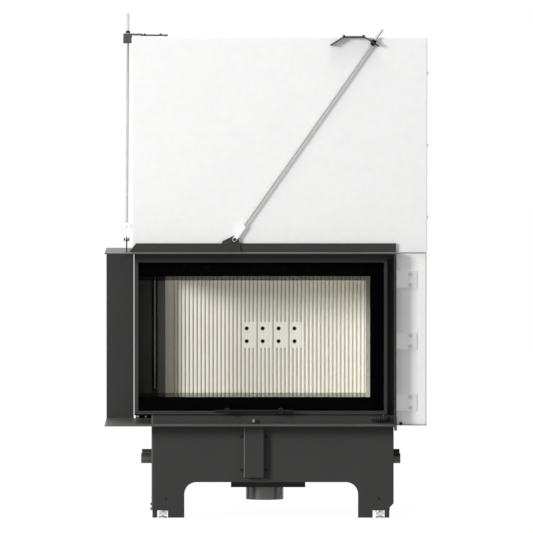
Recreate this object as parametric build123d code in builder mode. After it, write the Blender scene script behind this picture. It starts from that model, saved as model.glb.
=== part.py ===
from build123d import *
import os
from math import cos, radians, sin, sqrt, tan

os.makedirs("parts", exist_ok=True)
LOW = (Align.MIN, Align.MIN)

# Left-corner fireplace insert with a lifting door. Millimetres, +Z up, front towards -Y.
# Origin: middle of the overall box, on the floor.

# ---- driving dimensions: opening and door ----
door_left = -435.5  # outer face of the door's side leaf
door_w = 832.5
door_front = -200.0
door_side = 345.0  # length of the side leaf along Y, corner included
door_t = 22.0
lower_flange_z = 309.0  # underside of the lower flange
flange_t = 3.0
opening_h = 563.0  # clear height between the flanges
sill_gap = 31.0  # door above the lower flange
head_gap = 20.0  # door below the upper flange
rail = 11.5
stile = 11.0
corner_w = 13.3
glass_t = 4.0
lip = 3.5
rebate = 5.0
seat = 0.3  # clearance round the panes
clip_w = 24.0
clip_h = 14.0
clip_t = 2.5
clip_inset = 120.0
lift = 480.0  # travel of the door
handle_r = 5.0
handle_len = 254.0
handle_side = 22.5  # left of the door's middle
handle_up = 12.0
handle_out = 36.0
boss_r = 10.5
boss_span = 177.1

# ---- places that follow from the door ----
door_right = door_left + door_w
door_mid = (door_left + door_right) / 2
door_back = door_front + door_t
side_end = door_front + door_side
lower_top = lower_flange_z + flange_t
upper_flange_z = lower_top + opening_h
upper_top = upper_flange_z + flange_t
door_z = lower_top + sill_gap
door_h = opening_h - sill_gap - head_gap
door_top = door_z + door_h
glass_front = door_front + lip
handle_x = door_mid - handle_side
handle_z = door_z + handle_up

# ---- construction frame ----
frame_left = door_left - 96.5  # outer edge of the side flanges
frame_front = door_front - 105.0  # outer edge of the front flanges
frame_right = door_right + 28.5  # right end of the upper flange
frame_back = side_end + 160.0  # rear of the shaft and casing
panel_y = side_end + 5.0  # front of the rear-left panel and of the rear pillar
panel_w = 90.5
upstand_h = 29.0
upstand_gap = 7.0  # between the upstand and the shaft front
upstand_left = door_left - 17.1
upstand_mitre = 23.0
end_plate_h = 27.0
tail_h = 14.0  # end plate below the flange
tail_lip = 10.5  # front lip of that part
strip_front = frame_front + 43.0  # front end of the casing's floor strip
jamb = 8.5  # face of the right jamb

# ---- lifting shaft ----
sheet = 1.5
shaft_h = 704.5  # above the upper flange
shaft_left = door_left - 8.0
shaft_right = frame_right + 102.0
shaft_front = door_front - 8.0
shaft_top = upper_top + shaft_h
shaft_lip = 14.0  # return of the front sheet round its edges
front_leg = 50.0  # depth of the front leg of the shaft
left_leg = 108.0
right_leg = 147.0
casing_front = frame_front + 51.0
casing_lip = 4.0  # top sheet beyond the casing's front
jamb_back = door_front + 55.0  # rear edge of the right jamb
casing_right = shaft_right - 2.5
shaft_in = shaft_front + sheet
shaft_left_in = shaft_left + sheet
front_inner = shaft_front + front_leg
left_inner = shaft_left + left_leg
right_inner = shaft_right - right_leg
upstand_y = shaft_front - upstand_gap
casing_bracket_h = 56.0
casing_bracket_w = 68.0
casing_bracket_d = 22.0
casing_bracket_t = 3.0
casing_bracket_low = 46.0  # lowest bracket above the lower flange
casing_bracket_high = 113.5  # highest bracket below the upper flange
casing_screw_r = 6.5
shaft_screw_r = 5.5
shaft_screw_h = 4.5
shaft_screw_z = 114.0  # lowest screw above the upper flange
shaft_screw_pitch = 236.5
shaft_tab_z = 85.0
shaft_tab_pitch = 174.0
shaft_tab_t = 2.6
fixing_y = 60.0  # screws and tabs behind the shaft front

# ---- base ----
base_left = door_left + 56.5
base_right = frame_right - 7.5
base_front = door_front - 10.0
base_back = side_end + 45.0
plate = 3.0
bend_r = 2.0
leg_clear = 3.0  # leg plates end above the floor
arch_z = 120.0
arch_left = base_left + 108.0
arch_right = base_right - 117.3
arch_r = 40.0
side_arch_in = 90.0
notch_h = 27.0
notch_w = 54.0
right_notch_w = 69.3
heel = 13.0  # cut corner of the right legs
foot_r = 15.0
foot_t = 6.0
foot_nut_r = 13.5
foot_nut_z = 11.0
foot_x_left = 34.0  # foot from the leg's outer side
foot_x = 31.0
foot_y = 26.0
lug_w = 16.0  # folded lug beside each foot
side_low = 51.0  # lower edge of the right side plate
side_low_left = 27.5  # lower edge of the left side plate, which carries two bolts
deck_gap = 0.3  # deck below the door
deck_z = door_z - deck_gap  # top of the hearth deck
tube_r = 16.85
tube_z = 194.4
tube_gap = 3.5  # between the tubes and the air box
tube_left = base_left - 35.0
tube_right = base_right + 23.0
tube_wall = 2.6

# ---- firebox ----
lining_left = door_left + 98.5
lining_right = door_right - 47.0
lining_front = side_end + 55.0
lining_t = 30.0
lining_top = door_top - 55.0
rib_pitch = 13.25
rib_first = lining_left + 28.0
ribs_each = int((lining_right - 20.0 - rib_first) / rib_pitch / 3)  # reeds on each of the three bricks
hole_r = 6.5
hole_first = rib_first + (ribs_each + 2.317) * rib_pitch
patch_in = 14.6  # left edge of a flat land to its holes
patch_h = 86.0
patch_z = door_z + 200.0
hole_low = 21.8  # lower hole above the land's foot
hole_rise = 42.6
brick_t = 25.0
baffle_d = 240.0
baffle_t = 22.0
baffle_hang = 16.0  # upper baffle below the firebox top
hanger_w = 30.0
shell_t = 4.0
shell_top = door_top + 1.0
flue_x = door_mid + 39.25
flue_y = (base_front + base_back) / 2 + 40.0
flue_r = 100.5  # bore of the flue collar
flue_wall = 3.0
dome_r = 145.0
dome_h = 90.0
collar_h = 80.0

# ---- lift gear ----
rope_r = 2.0
wheel_r = 30.0  # from the wheel's axis to the rope's centre line
wheel_rim = 34.0
wheel_w = 10.0
rope_gap = 0.3
shaft_r = 6.0
pin_r = 5.0
run = 0.05  # radial running clearance of a shaft in its hole
upper_wheel_z = shaft_top - 82.5
lower_wheel_z = deck_z + 37.3
back_wheel_y = frame_back - 85.0
front_wheel_y = door_front + 90.0
right_rope_x = door_right + 8.0
left_rope_x = door_left + 45.5
guide_r = 6.0
guide_gap = 0.3
right_guide = (door_right + 12.0, door_front + 40.0)
left_guide = (door_left + 64.5, side_end + 25.0)
bush_h = 30.0
bush_low = door_z + 37.0
bush_high = door_top - 65.0
carriage_t = 4.0
bearing_t = 3.0
weight_w = 80.0
weight_t = 25.0
weight_h = 470.0
weight_low = 87.3  # counterweight above the deck with the door up
weight_z = deck_z + weight_low + lift
weight_y = back_wheel_y + wheel_r + 12.0
clamp_h = 60.0
clamp_z = door_z + 217.0

# ---- combustion air ----
air_x = door_mid + 12.75
air_y = (base_front + base_back) / 2 + 5.0
air_r = 62.5
air_wall = 2.0
air_low = 52.5
bead_r = 69.0
bead_h = 4.0
air_left = air_x - 111.5
air_right = air_x + 134.0
air_box_z = 97.0
air_depth = 200.0
slot_len = 160.0
slot_w = 40.0
channel_h = 12.0
cover_left = door_mid - 55.75
cover_right = cover_left + 65.6
cover_high = lower_flange_z - 5.0
cover_low = cover_high - 167.5
cover_out = 25.0
wing = 16.0
cover_screw_r = 4.2
lever_z = cover_low + 23.5
lever_turn = 8.0
lever_w = 8.0
lever_t = 3.0
port_r = 6.5
port_ring = 25.0
register_r = 36.0
knob_r = 4.5
knob_h = 11.0

# ---- latch ----
latch_x = door_right - 49.0
latch_len = 47.0
latch_r = 9.0
latch_y = base_front - 11.0
latch_z = lower_top + 18.0

# ---- stay rods ----
rod_r = 4.0
rod_stand = 12.0  # rod centre in front of the shaft wall
rod_len = 844.0
clevis_len = 56.0
strap_w = 14.0
strap_t = 3.0
bolt_r = 3.0
lug_t = 4.0
strap_gap = 0.3
pivot_z = upper_top + 42.0
right_pivot_x = door_mid - 86.55
right_lean = 35.2
left_pivot_y = door_front + 5.0
left_lean = 29.4
bracket_t = 4.0
bracket_w = 28.0
hat_mid = 72.0
hat_arm = 115.0
hat_out = 3.0  # left hat bracket clear of the shaft's side
hat_near = 48.0
hat_far = 52.0
hat_in = 40.0  # rod beyond the end of the hat's flat
hat_step = 3.0  # left hat raised above its arm's rear part
hat_rise_l = 34.0  # raised length of the left arm
hat_slope = 33.0

# ================= base =================
with BuildPart() as base_end_plates:
    with BuildSketch(Plane.XZ.offset(-(base_front + plate))):
        with Locations((base_left, leg_clear)):
            Rectangle(base_right - base_left, deck_z - leg_clear, align=LOW)
        with BuildSketch(mode=Mode.PRIVATE) as arch:
            with Locations((arch_left, leg_clear - 60)):
                Rectangle(arch_right - arch_left, arch_z - leg_clear + 60, align=LOW)
            fillet(arch.vertices().group_by(Axis.Y)[-1], radius=arch_r)
        add(arch.sketch, mode=Mode.SUBTRACT)
        with Locations((base_left, leg_clear)):
            Rectangle(notch_w, notch_h - leg_clear, align=LOW, mode=Mode.SUBTRACT)
        with Locations((base_right - right_notch_w, leg_clear)):
            Rectangle(right_notch_w, notch_h - leg_clear, align=LOW, mode=Mode.SUBTRACT)
        with BuildLine():
            Polyline(
                (base_right, notch_h),
                (base_right - heel, notch_h),
                (base_right - heel, notch_h + 9.5),
                (base_right, notch_h + 23.6),
                close=True,
            )
        make_face(mode=Mode.SUBTRACT)
        with Locations(((cover_left + cover_right) / 2, lever_z)):
            Circle(pin_r + run, mode=Mode.SUBTRACT)
    extrude(amount=plate)
    front_edges = base_end_plates.edges().filter_by(Axis.Z).group_by(Axis.Y)[0]
    fillet(front_edges.group_by(Axis.X)[0] + front_edges.group_by(Axis.X)[-1], radius=bend_r)
    with BuildSketch(Plane.XZ.offset(-base_back)):
        with Locations((base_left, leg_clear)):
            Rectangle(base_right - base_left, deck_z - plate - leg_clear, align=LOW)
        with BuildSketch(mode=Mode.PRIVATE) as rear_arch:
            with Locations((arch_left - 8, leg_clear - 60)):
                Rectangle(arch_right - arch_left + 16, arch_z - leg_clear + 60, align=LOW)
            fillet(rear_arch.vertices().group_by(Axis.Y)[-1], radius=arch_r)
        add(rear_arch.sketch, mode=Mode.SUBTRACT)
        with Locations((base_left, leg_clear)):
            Rectangle(notch_w, notch_h - leg_clear, align=LOW, mode=Mode.SUBTRACT)
        with Locations((base_right - right_notch_w, leg_clear)):
            Rectangle(right_notch_w, notch_h - leg_clear, align=LOW, mode=Mode.SUBTRACT)
    extrude(amount=plate)
base_end_plates.part.label = "base_end_plates"
export_step(base_end_plates.part, "parts/base_end_plates.step")

side_y = base_front + plate
side_len = base_back - plate - side_y
tube_run = air_depth / 2 + tube_gap + tube_r
tube_ys = (air_y - tube_run, air_y + tube_run)
with BuildPart() as base_side_plates:
    for side_x, plate_low in ((base_left, side_low_left), (base_right - plate, side_low)):
        with BuildSketch(Plane.YZ.offset(side_x)):
            with Locations((side_y, plate_low)):
                Rectangle(side_len, deck_z - plate - plate_low, align=LOW)
            with BuildSketch(mode=Mode.PRIVATE) as side_arch:
                with Locations((side_y + side_arch_in, notch_h - 60)):
                    Rectangle(side_len - 2 * side_arch_in, arch_z - notch_h + 60, align=LOW)
                fillet(side_arch.vertices().group_by(Axis.Y)[-1], radius=arch_r)
            add(side_arch.sketch, mode=Mode.SUBTRACT)
            with Locations(*[(y, tube_z) for y in tube_ys]):
                Circle(tube_r + seat, mode=Mode.SUBTRACT)
        extrude(amount=plate)
base_side_plates.part.label = "base_side_plates"
export_step(base_side_plates.part, "parts/base_side_plates.step")

with BuildPart() as foot_plates:
    for x0 in (base_left + plate, base_right - heel - notch_w):
        for y0, sign in ((side_y, 1), (base_back - plate, -1)):
            with BuildSketch(Plane.XY.offset(notch_h)):
                with Locations((x0 + (notch_w - 1) / 2, y0 + sign * 26)):
                    Rectangle(notch_w - 1, 52)
                with Locations((x0 + foot_x_left if x0 < 0 else x0 + notch_w - foot_x, y0 + sign * foot_y)):
                    Circle(pin_r + run, mode=Mode.SUBTRACT)
            extrude(amount=plate + 1)
            lug_x = x0 if x0 < 0 else x0 + notch_w - lug_w - 1
            lug_y = y0 if sign > 0 else y0 - plate
            with BuildSketch(Plane.XY.offset(leg_clear)):
                with Locations((lug_x, lug_y)):
                    Rectangle(lug_w, plate, align=LOW)
            extrude(amount=notch_h - leg_clear)
foot_plates.part.label = "foot_plates"
export_step(foot_plates.part, "parts/foot_plates.step")

foot_spots = []
for x0 in (base_left + plate, base_right - heel - notch_w):
    for y0, sign in ((side_y, 1), (base_back - plate, -1)):
        foot_spots.append((x0 + foot_x_left if x0 < 0 else x0 + notch_w - foot_x, y0 + sign * foot_y))
foot_names = ("foot_front_left", "foot_rear_left", "foot_front_right", "foot_rear_right")
for foot_name, (fx, fy) in zip(foot_names, foot_spots):
    with BuildPart() as foot:
        with BuildSketch(Plane.XY):
            with Locations((fx, fy)):
                Circle(foot_r)
        extrude(amount=foot_t)
        chamfer(foot.faces().sort_by(Axis.Z)[-1].edges(), length=2)
        with BuildSketch(Plane.XY.offset(foot_t)):
            with Locations((fx, fy)):
                Circle(pin_r)
        extrude(amount=62)
        with BuildSketch(Plane.XY.offset(foot_nut_z)):
            with Locations((fx, fy)):
                RegularPolygon(radius=foot_nut_r, side_count=6)
        extrude(amount=9)
    foot.part.label = foot_name
    export_step(foot.part, "parts/" + foot_name + ".step")

with BuildPart() as handling_tubes:
    for y in tube_ys:
        with BuildSketch(Plane.YZ.offset(tube_left)):
            with Locations((y, tube_z)):
                Circle(tube_r)
                Circle(tube_r - tube_wall, mode=Mode.SUBTRACT)
        extrude(amount=tube_right - tube_left)
    chamfer(handling_tubes.edges().filter_by(GeomType.CIRCLE).filter_by(lambda e: e.radius > tube_r - 0.1), length=0.8)
handling_tubes.part.label = "handling_tubes"
export_step(handling_tubes.part, "parts/handling_tubes.step")

# hearth deck with the slot that lets combustion air into the firebox
with BuildPart() as deck:
    with BuildSketch(Plane.XY.offset(deck_z - plate)):
        with Locations((door_left + 0.5, base_front + plate)):
            Rectangle(base_right - door_left - 0.5, frame_back - 5 - base_front - plate, align=LOW)
        with Locations((air_x, air_y)):
            SlotOverall(slot_len, slot_w, mode=Mode.SUBTRACT)
    extrude(amount=plate)
    # folded skirt that closes the rear of the left overhang
    with BuildSketch(Plane.XZ.offset(-(side_end + plate))):
        with Locations((door_left + 0.5, lower_top + seat)):
            Rectangle(base_left - seat - door_left - 0.5, deck_z - plate / 2 - lower_top - seat, align=LOW)
    extrude(amount=plate)
deck.part.label = "deck"
export_step(deck.part, "parts/deck.step")

# ================= construction frame =================
with BuildPart() as upper_flange:
    with BuildSketch(Plane.XY.offset(upper_flange_z)):
        with Locations((frame_left, frame_front)):
            Rectangle(frame_right - frame_left, shaft_in - frame_front, align=LOW)
        with Locations((frame_left, shaft_in)):
            Rectangle(shaft_left_in - frame_left, panel_y + plate - shaft_in, align=LOW)
    extrude(amount=flange_t)
upper_flange.part.label = "upper_flange"
export_step(upper_flange.part, "parts/upper_flange.step")

with BuildPart() as upstand:
    with BuildSketch(Plane.XZ.offset(-upstand_y)):
        with BuildLine():
            Polyline(
                (upstand_left, upper_top),
                (frame_right, upper_top),
                (frame_right, upper_top + upstand_h),
                (upstand_left + upstand_mitre, upper_top + upstand_h),
                close=True,
            )
        make_face()
    extrude(amount=plate)
upstand.part.label = "upstand"
export_step(upstand.part, "parts/upstand.step")

with BuildPart() as lower_flange:
    with BuildSketch(Plane.XY.offset(lower_flange_z)):
        with Locations((frame_left, frame_front)):
            Rectangle(frame_right + 2 - frame_left, base_front - frame_front, align=LOW)
        with Locations((frame_left, base_front)):
            Rectangle(base_left - frame_left, panel_y + plate - base_front, align=LOW)
        with Locations(((cover_left + cover_right) / 2, base_front - cover_out / 2)):
            Rectangle(2 * (lower_top - lever_z) * tan(radians(lever_turn)) + lever_w + 4, 7, mode=Mode.SUBTRACT)
    extrude(amount=flange_t)
    # turned-up end plate with a cut lower corner
    with BuildSketch(Plane.YZ.offset(frame_right)):
        with BuildLine():
            Polyline(
                (frame_front, lower_flange_z - tail_h),
                (frame_front + 12, lower_flange_z - tail_h),
                (frame_front + 22, lower_flange_z),
                (strip_front - 0.3, lower_flange_z),
                (strip_front - 0.3, lower_top + end_plate_h),
                (frame_front + 6, lower_top + end_plate_h),
                (frame_front, lower_top + end_plate_h - 6),
                close=True,
            )
        make_face()
    extrude(amount=2)
    # front lip of the end plate, tapering below the flange
    end_x = frame_right + 2
    with BuildSketch(Plane.XZ.offset(-frame_front)):
        with BuildLine():
            Polyline(
                (end_x, lower_flange_z + 1),
                (end_x - 2.5, lower_flange_z - tail_h),
                (end_x - tail_lip + 2.5, lower_flange_z - tail_h),
                (end_x - tail_lip, lower_flange_z + 1),
                close=True,
            )
        make_face()
    extrude(amount=-plate)
    # floor strip of the right casing
    with BuildSketch(Plane.XY.offset(lower_top - 2)):
        with Locations((base_right, strip_front)):
            Rectangle(casing_right - base_right, frame_back - strip_front, align=LOW)
    extrude(amount=2)
lower_flange.part.label = "lower_flange"
export_step(lower_flange.part, "parts/lower_flange.step")

with BuildPart() as rear_left_panel:
    with BuildSketch(Plane.XZ.offset(-(panel_y + plate))):
        with Locations((frame_left, lower_top)):
            Rectangle(panel_w, opening_h, align=LOW)
    extrude(amount=plate)
rear_left_panel.part.label = "rear_left_panel"
export_step(rear_left_panel.part, "parts/rear_left_panel.step")

with BuildPart() as door_surround:
    with BuildSketch(Plane.YZ.offset(door_left)):
        with BuildLine():
            Polyline(
                (shaft_front - 8, upper_flange_z),
                (shaft_front - 8, door_top + 0.5),
                (door_front - 2.5, door_top + 0.5),
                (door_front - 2.5, door_top + 3.5),
                (shaft_front - 5, door_top + 3.5),
                (shaft_front - 5, upper_flange_z),
                close=True,
            )
        make_face()
    extrude(amount=frame_right - door_left)
    with BuildSketch(Plane.XY.offset(lower_top)):
        with BuildLine():
            Polyline(
                (frame_right - jamb, frame_front + 1),
                (frame_right, frame_front + 1),
                (frame_right, jamb_back),
                (frame_right - 1.5, jamb_back),
                (frame_right - 1.5, door_back + 3.5),
                (door_right - 0.5, door_back + 3.5),
                (door_right - 0.5, door_back + 2),
                (frame_right - 1.5, door_back + 2),
                (frame_right - 1.5, frame_front + 2.5),
                (frame_right - jamb, frame_front + 2.5),
                close=True,
            )
        make_face()
    extrude(amount=upper_flange_z - lower_top)
    with BuildSketch(Plane.XY.offset(lower_top - 1)):
        with Locations((base_left, base_front)):
            Rectangle(base_right - base_left, plate, align=LOW)
        with Locations((door_left, base_front + plate)):
            Rectangle(base_right - door_left, 80, align=LOW)
    extrude(amount=deck_z - lower_top + 1, mode=Mode.SUBTRACT)
door_surround.part.label = "door_surround"
export_step(door_surround.part, "parts/door_surround.step")

with BuildPart() as rear_pillar:
    with BuildSketch(Plane.XY.offset(deck_z)):
        with BuildLine():
            Polyline(
                (lining_left - 25.6, panel_y),
                (lining_left, panel_y),
                (lining_left, frame_back - 5),
                (door_left + 0.5, frame_back - 5),
                (door_left + 0.5, panel_y),
                (door_left + 2.5, panel_y),
                (door_left + 2.5, frame_back - 7),
                (lining_left - 2, frame_back - 7),
                (lining_left - 2, panel_y + 2),
                (lining_left - 25.6, panel_y + 2),
                close=True,
            )
        make_face()
    extrude(amount=upper_top - deck_z)
    with BuildSketch(Plane.XY.offset(deck_z)):
        with Locations((door_left + 19.5, panel_y)):
            Rectangle(lining_left - 45 - door_left - 19.5, 2, align=LOW)
    extrude(amount=upper_top - deck_z)
rear_pillar.part.label = "rear_pillar"
export_step(rear_pillar.part, "parts/rear_pillar.step")

# ================= firebox =================
wall_x = lining_right + brick_t + 2
wall_front = door_back + 3.0
with BuildPart() as firebox_walls:
    with BuildSketch(Plane.XZ.offset(-(lining_front + lining_t + 2 + shell_t))):
        with Locations((lining_left, deck_z)):
            Rectangle(lining_right + brick_t + 6 - lining_left, shell_top - deck_z, align=LOW)
    extrude(amount=shell_t)
    with BuildSketch(Plane.YZ.offset(wall_x)):
        with Locations((wall_front, deck_z)):
            Rectangle(lining_front + lining_t + 2 - wall_front, shell_top - deck_z, align=LOW)
    extrude(amount=shell_t)
firebox_walls.part.label = "firebox_walls"
export_step(firebox_walls.part, "parts/firebox_walls.step")

with BuildPart() as firebox_top:
    with BuildSketch(Plane.XY.offset(shell_top)):
        with Locations((door_left + door_t + 1.5, wall_front)):
            Rectangle(wall_x + shell_t - door_left - door_t - 1.5,
                      lining_front + lining_t + 2 + shell_t - wall_front, align=LOW)
        with Locations((door_left + door_t + 1.5, panel_y - 2)):
            Rectangle(lining_left - door_left - door_t - 1.5, 100, align=LOW, mode=Mode.SUBTRACT)
        with Locations((flue_x, flue_y)):
            Circle(dome_r - flue_wall - 4, mode=Mode.SUBTRACT)
    extrude(amount=shell_t)
firebox_top.part.label = "firebox_top"
export_step(firebox_top.part, "parts/firebox_top.step")

with BuildPart() as flue_outlet:
    dome_z = shell_top + shell_t
    with BuildSketch(Plane.XZ.offset(-flue_y)):
        with BuildLine():
            Polyline(
                (flue_x + dome_r, dome_z),
                (flue_x + dome_r, dome_z + 12),
                (flue_x + flue_r + flue_wall, dome_z + dome_h),
                (flue_x + flue_r + flue_wall, dome_z + dome_h + collar_h),
                (flue_x + flue_r, dome_z + dome_h + collar_h),
                (flue_x + flue_r, dome_z + dome_h),
                (flue_x + dome_r - flue_wall, dome_z + 11),
                (flue_x + dome_r - flue_wall, dome_z),
                close=True,
            )
        make_face()
    revolve(axis=Axis((flue_x, flue_y, 0), (0, 0, 1)))
flue_outlet.part.label = "flue_outlet"
export_step(flue_outlet.part, "parts/flue_outlet.step")

# ribbed rear lining: convex reeds, flat lands round the eight air holes
floor_top = deck_z + brick_t
patch_w = 3 * rib_pitch
hole_zs = (patch_z + hole_low, patch_z + hole_low + hole_rise)
rib_rad = 7.2
rib_drop = rib_rad - sqrt(rib_rad ** 2 - (rib_pitch / 2 - 0.12) ** 2)
joints_x = (lining_left, rib_first + ribs_each * rib_pitch, rib_first + 2 * ribs_each * rib_pitch, lining_right)
ribs_end = rib_first + 3 * ribs_each * rib_pitch
with BuildPart() as lining_back:
    for brick in range(3):
        x_from = joints_x[brick] + (0.25 if brick else 0)
        x_to = joints_x[brick + 1] - (0.25 if brick < 2 else 0)
        with BuildSketch(Plane.XY.offset(floor_top)):
            with Locations((x_from, lining_front + rib_drop)):
                Rectangle(x_to - x_from, lining_t - rib_drop, align=LOW)
            for n in range(ribs_each):
                with Locations((rib_first + (brick * ribs_each + n + 0.5) * rib_pitch, lining_front + rib_rad)):
                    Circle(rib_rad)
            if brick == 0:
                with Locations((lining_left, lining_front)):
                    Rectangle(rib_first - lining_left, lining_t, align=LOW)
            if brick == 2:
                with Locations((ribs_end, lining_front)):
                    Rectangle(lining_right - ribs_end, lining_t, align=LOW)
            with Locations((x_from - 20, lining_front)):
                Rectangle(20, lining_t, align=LOW, mode=Mode.SUBTRACT)
            with Locations((x_to, lining_front)):
                Rectangle(20, lining_t, align=LOW, mode=Mode.SUBTRACT)
        extrude(amount=lining_top - floor_top)
        for n in range(4):
            hole_x = hole_first + n * 4 * rib_pitch
            patch_x = hole_x - patch_in
            if patch_x >= x_from and patch_x + patch_w <= x_to:
                with BuildSketch(Plane.XZ.offset(-(lining_front + 8))):
                    with Locations((patch_x, patch_z)):
                        Rectangle(patch_w, patch_h, align=LOW)
                extrude(amount=7.6)
            elif patch_x < x_to and patch_x + patch_w > x_from:
                with BuildSketch(Plane.XZ.offset(-(lining_front + 8))):
                    with Locations((max(patch_x, x_from), patch_z)):
                        Rectangle(min(patch_x + patch_w, x_to) - max(patch_x, x_from), patch_h, align=LOW)
                extrude(amount=7.6)
            if x_from < hole_x - hole_r and hole_x + hole_r < x_to:
                with BuildSketch(Plane.XZ.offset(-lining_front + 1)):
                    with Locations(*[(hole_x, z) for z in hole_zs]):
                        Circle(hole_r)
                extrude(amount=-(lining_t + 2), mode=Mode.SUBTRACT)
lining_back.part.label = "lining_back"
export_step(lining_back.part, "parts/lining_back.step")

with BuildPart() as lining_side:
    for n in range(2):
        run_y = (lining_front - wall_front - 6) / 2
        with BuildSketch(Plane.YZ.offset(lining_right)):
            with Locations((wall_front + 4 + n * (run_y + 0.5), floor_top)):
                Rectangle(run_y, lining_top - floor_top, align=LOW)
        extrude(amount=brick_t)
lining_side.part.label = "lining_side"
export_step(lining_side.part, "parts/lining_side.step")

with BuildPart() as hearth_floor:
    floor_left = door_left + door_t + 6
    floor_w = (lining_right + brick_t - floor_left - 1) / 3
    for n in range(3):
        x_low = floor_left + n * (floor_w + 0.5)
        y_high = lining_front + lining_t if n else panel_y - 2
        with BuildSketch(Plane.XY.offset(deck_z)):
            with Locations((x_low, wall_front)):
                Rectangle(floor_w, y_high - wall_front, align=LOW)
            if n == 0:
                with Locations((lining_left + 1, wall_front)):
                    Rectangle(x_low + floor_w - lining_left - 1, lining_front + lining_t - wall_front, align=LOW)
        extrude(amount=brick_t)
    # channel that leads the combustion air from the deck's slot to the foot of the pane
    with BuildSketch(Plane.XY.offset(deck_z)):
        with Locations((air_x - slot_len / 2, wall_front)):
            Rectangle(slot_len, air_y + slot_w / 2 - wall_front, align=LOW)
    extrude(amount=channel_h, mode=Mode.SUBTRACT)
hearth_floor.part.label = "hearth_floor"
export_step(hearth_floor.part, "parts/hearth_floor.step")

with BuildPart() as baffle_lower:
    with BuildSketch(Plane.XY.offset(lining_top)):
        with Locations((lining_left + 1, lining_front - baffle_d)):
            Rectangle(wall_x - 1 - lining_left - 1, baffle_d + lining_t, align=LOW)
    extrude(amount=baffle_t)
    chamfer(baffle_lower.edges().filter_by(Axis.X).group_by(Axis.Y)[0], length=6)
baffle_lower.part.label = "baffle_lower"
export_step(baffle_lower.part, "parts/baffle_lower.step")

with BuildPart() as baffle_upper:
    with BuildSketch(Plane.XY.offset(shell_top - baffle_hang)):
        with Locations((lining_left + 1, wall_front + 6)):
            Rectangle(wall_x - 1 - lining_left - 1, baffle_d, align=LOW)
    extrude(amount=plate)
    for x in (lining_left + 2 * hanger_w, lining_right - 2 * hanger_w):
        with BuildSketch(Plane.XY.offset(shell_top - baffle_hang + plate)):
            with Locations((x, wall_front + 20)):
                Rectangle(hanger_w, plate, align=LOW)
        extrude(amount=baffle_hang - plate)
baffle_upper.part.label = "baffle_upper"
export_step(baffle_upper.part, "parts/baffle_upper.step")

# ================= door =================
leaf = side_end - door_back
with BuildPart() as door_frame:
    with BuildSketch(Plane.XZ.offset(-door_back)):
        with Locations((door_left, door_z)):
            Rectangle(door_w, door_h, align=LOW)
        with Locations((door_left + corner_w - rebate, door_z + rail - rebate)):
            Rectangle(door_w - corner_w - stile + 2 * rebate, door_h - 2 * rail + 2 * rebate,
                      align=LOW, mode=Mode.SUBTRACT)
    extrude(amount=door_t)
    with BuildSketch(Plane.XZ.offset(-(door_front + lip))):
        with Locations((door_left + 1, door_z + 1)):
            Rectangle(door_w - 2, door_h - 2, align=LOW)
        with Locations((door_left + corner_w, door_z + rail)):
            Rectangle(door_w - corner_w - stile, door_h - 2 * rail, align=LOW, mode=Mode.SUBTRACT)
    extrude(amount=lip)
    with BuildSketch(Plane.YZ.offset(door_left)):
        with Locations((door_back, door_z)):
            Rectangle(leaf, door_h, align=LOW)
        with Locations((door_back, door_z + rail)):
            Rectangle(leaf - stile, door_h - 2 * rail, align=LOW, mode=Mode.SUBTRACT)
    extrude(amount=lip)
    with BuildSketch(Plane.YZ.offset(door_left + lip)):
        with Locations((door_back, door_z)):
            Rectangle(leaf, door_h, align=LOW)
        with Locations((door_back, door_z + rail - rebate)):
            Rectangle(leaf - stile + rebate, door_h - 2 * rail + 2 * rebate, align=LOW, mode=Mode.SUBTRACT)
    extrude(amount=door_t - lip)
door_frame.part.label = "door_frame"
export_step(door_frame.part, "parts/door_frame.step")

with BuildPart() as door_glass:
    with BuildSketch(Plane.XZ.offset(-(glass_front + glass_t))):
        with Locations((door_left + corner_w - rebate + seat, door_z + rail - rebate + seat)):
            Rectangle(door_w - corner_w - stile + 2 * (rebate - seat),
                      door_h - 2 * (rail - rebate + seat), align=LOW)
    extrude(amount=glass_t)
    with BuildSketch(Plane.YZ.offset(door_left + lip)):
        with Locations((door_back, door_z + rail - rebate + seat)):
            Rectangle(leaf - stile + rebate - seat, door_h - 2 * (rail - rebate + seat), align=LOW)
    extrude(amount=glass_t)
door_glass.part.label = "door_glass"
export_step(door_glass.part, "parts/door_glass.step")

with BuildPart() as glass_clips:
    for x in (door_left + clip_inset, door_left + door_w / 2, door_right - clip_inset):
        for z, up in ((door_z + rail - rebate, 1), (door_top - rail + rebate, -1)):
            with BuildSketch(Plane.XZ.offset(-(glass_front + glass_t + clip_t))):
                with Locations((x, z + up * clip_h / 2)):
                    Rectangle(clip_w, clip_h)
            extrude(amount=clip_t)
glass_clips.part.label = "glass_clips"
export_step(glass_clips.part, "parts/glass_clips.step")

with BuildPart() as handle_bosses:
    for x in (handle_x - boss_span / 2, handle_x + boss_span / 2):
        with BuildSketch(Plane.XZ.offset(-door_front)):
            with Locations((x, handle_z)):
                Circle(boss_r)
        extrude(amount=handle_out + handle_r + 3)
    chamfer(handle_bosses.faces().filter_by(Axis.Y).sort_by(Axis.Y)[0].edges(), length=1.5)
    with BuildSketch(Plane.YZ.offset(handle_x - boss_span)):
        with Locations((door_front - handle_out, handle_z)):
            Circle(handle_r + run)
    extrude(amount=2 * boss_span, mode=Mode.SUBTRACT)
handle_bosses.part.label = "handle_bosses"
export_step(handle_bosses.part, "parts/handle_bosses.step")

with BuildPart() as handle_bar:
    with BuildSketch(Plane.YZ.offset(handle_x - handle_len / 2)):
        with Locations((door_front - handle_out, handle_z)):
            Circle(handle_r)
    extrude(amount=handle_len)
    chamfer(handle_bar.edges().filter_by(GeomType.CIRCLE), length=1.2)
handle_bar.part.label = "handle_bar"
export_step(handle_bar.part, "parts/handle_bar.step")

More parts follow.
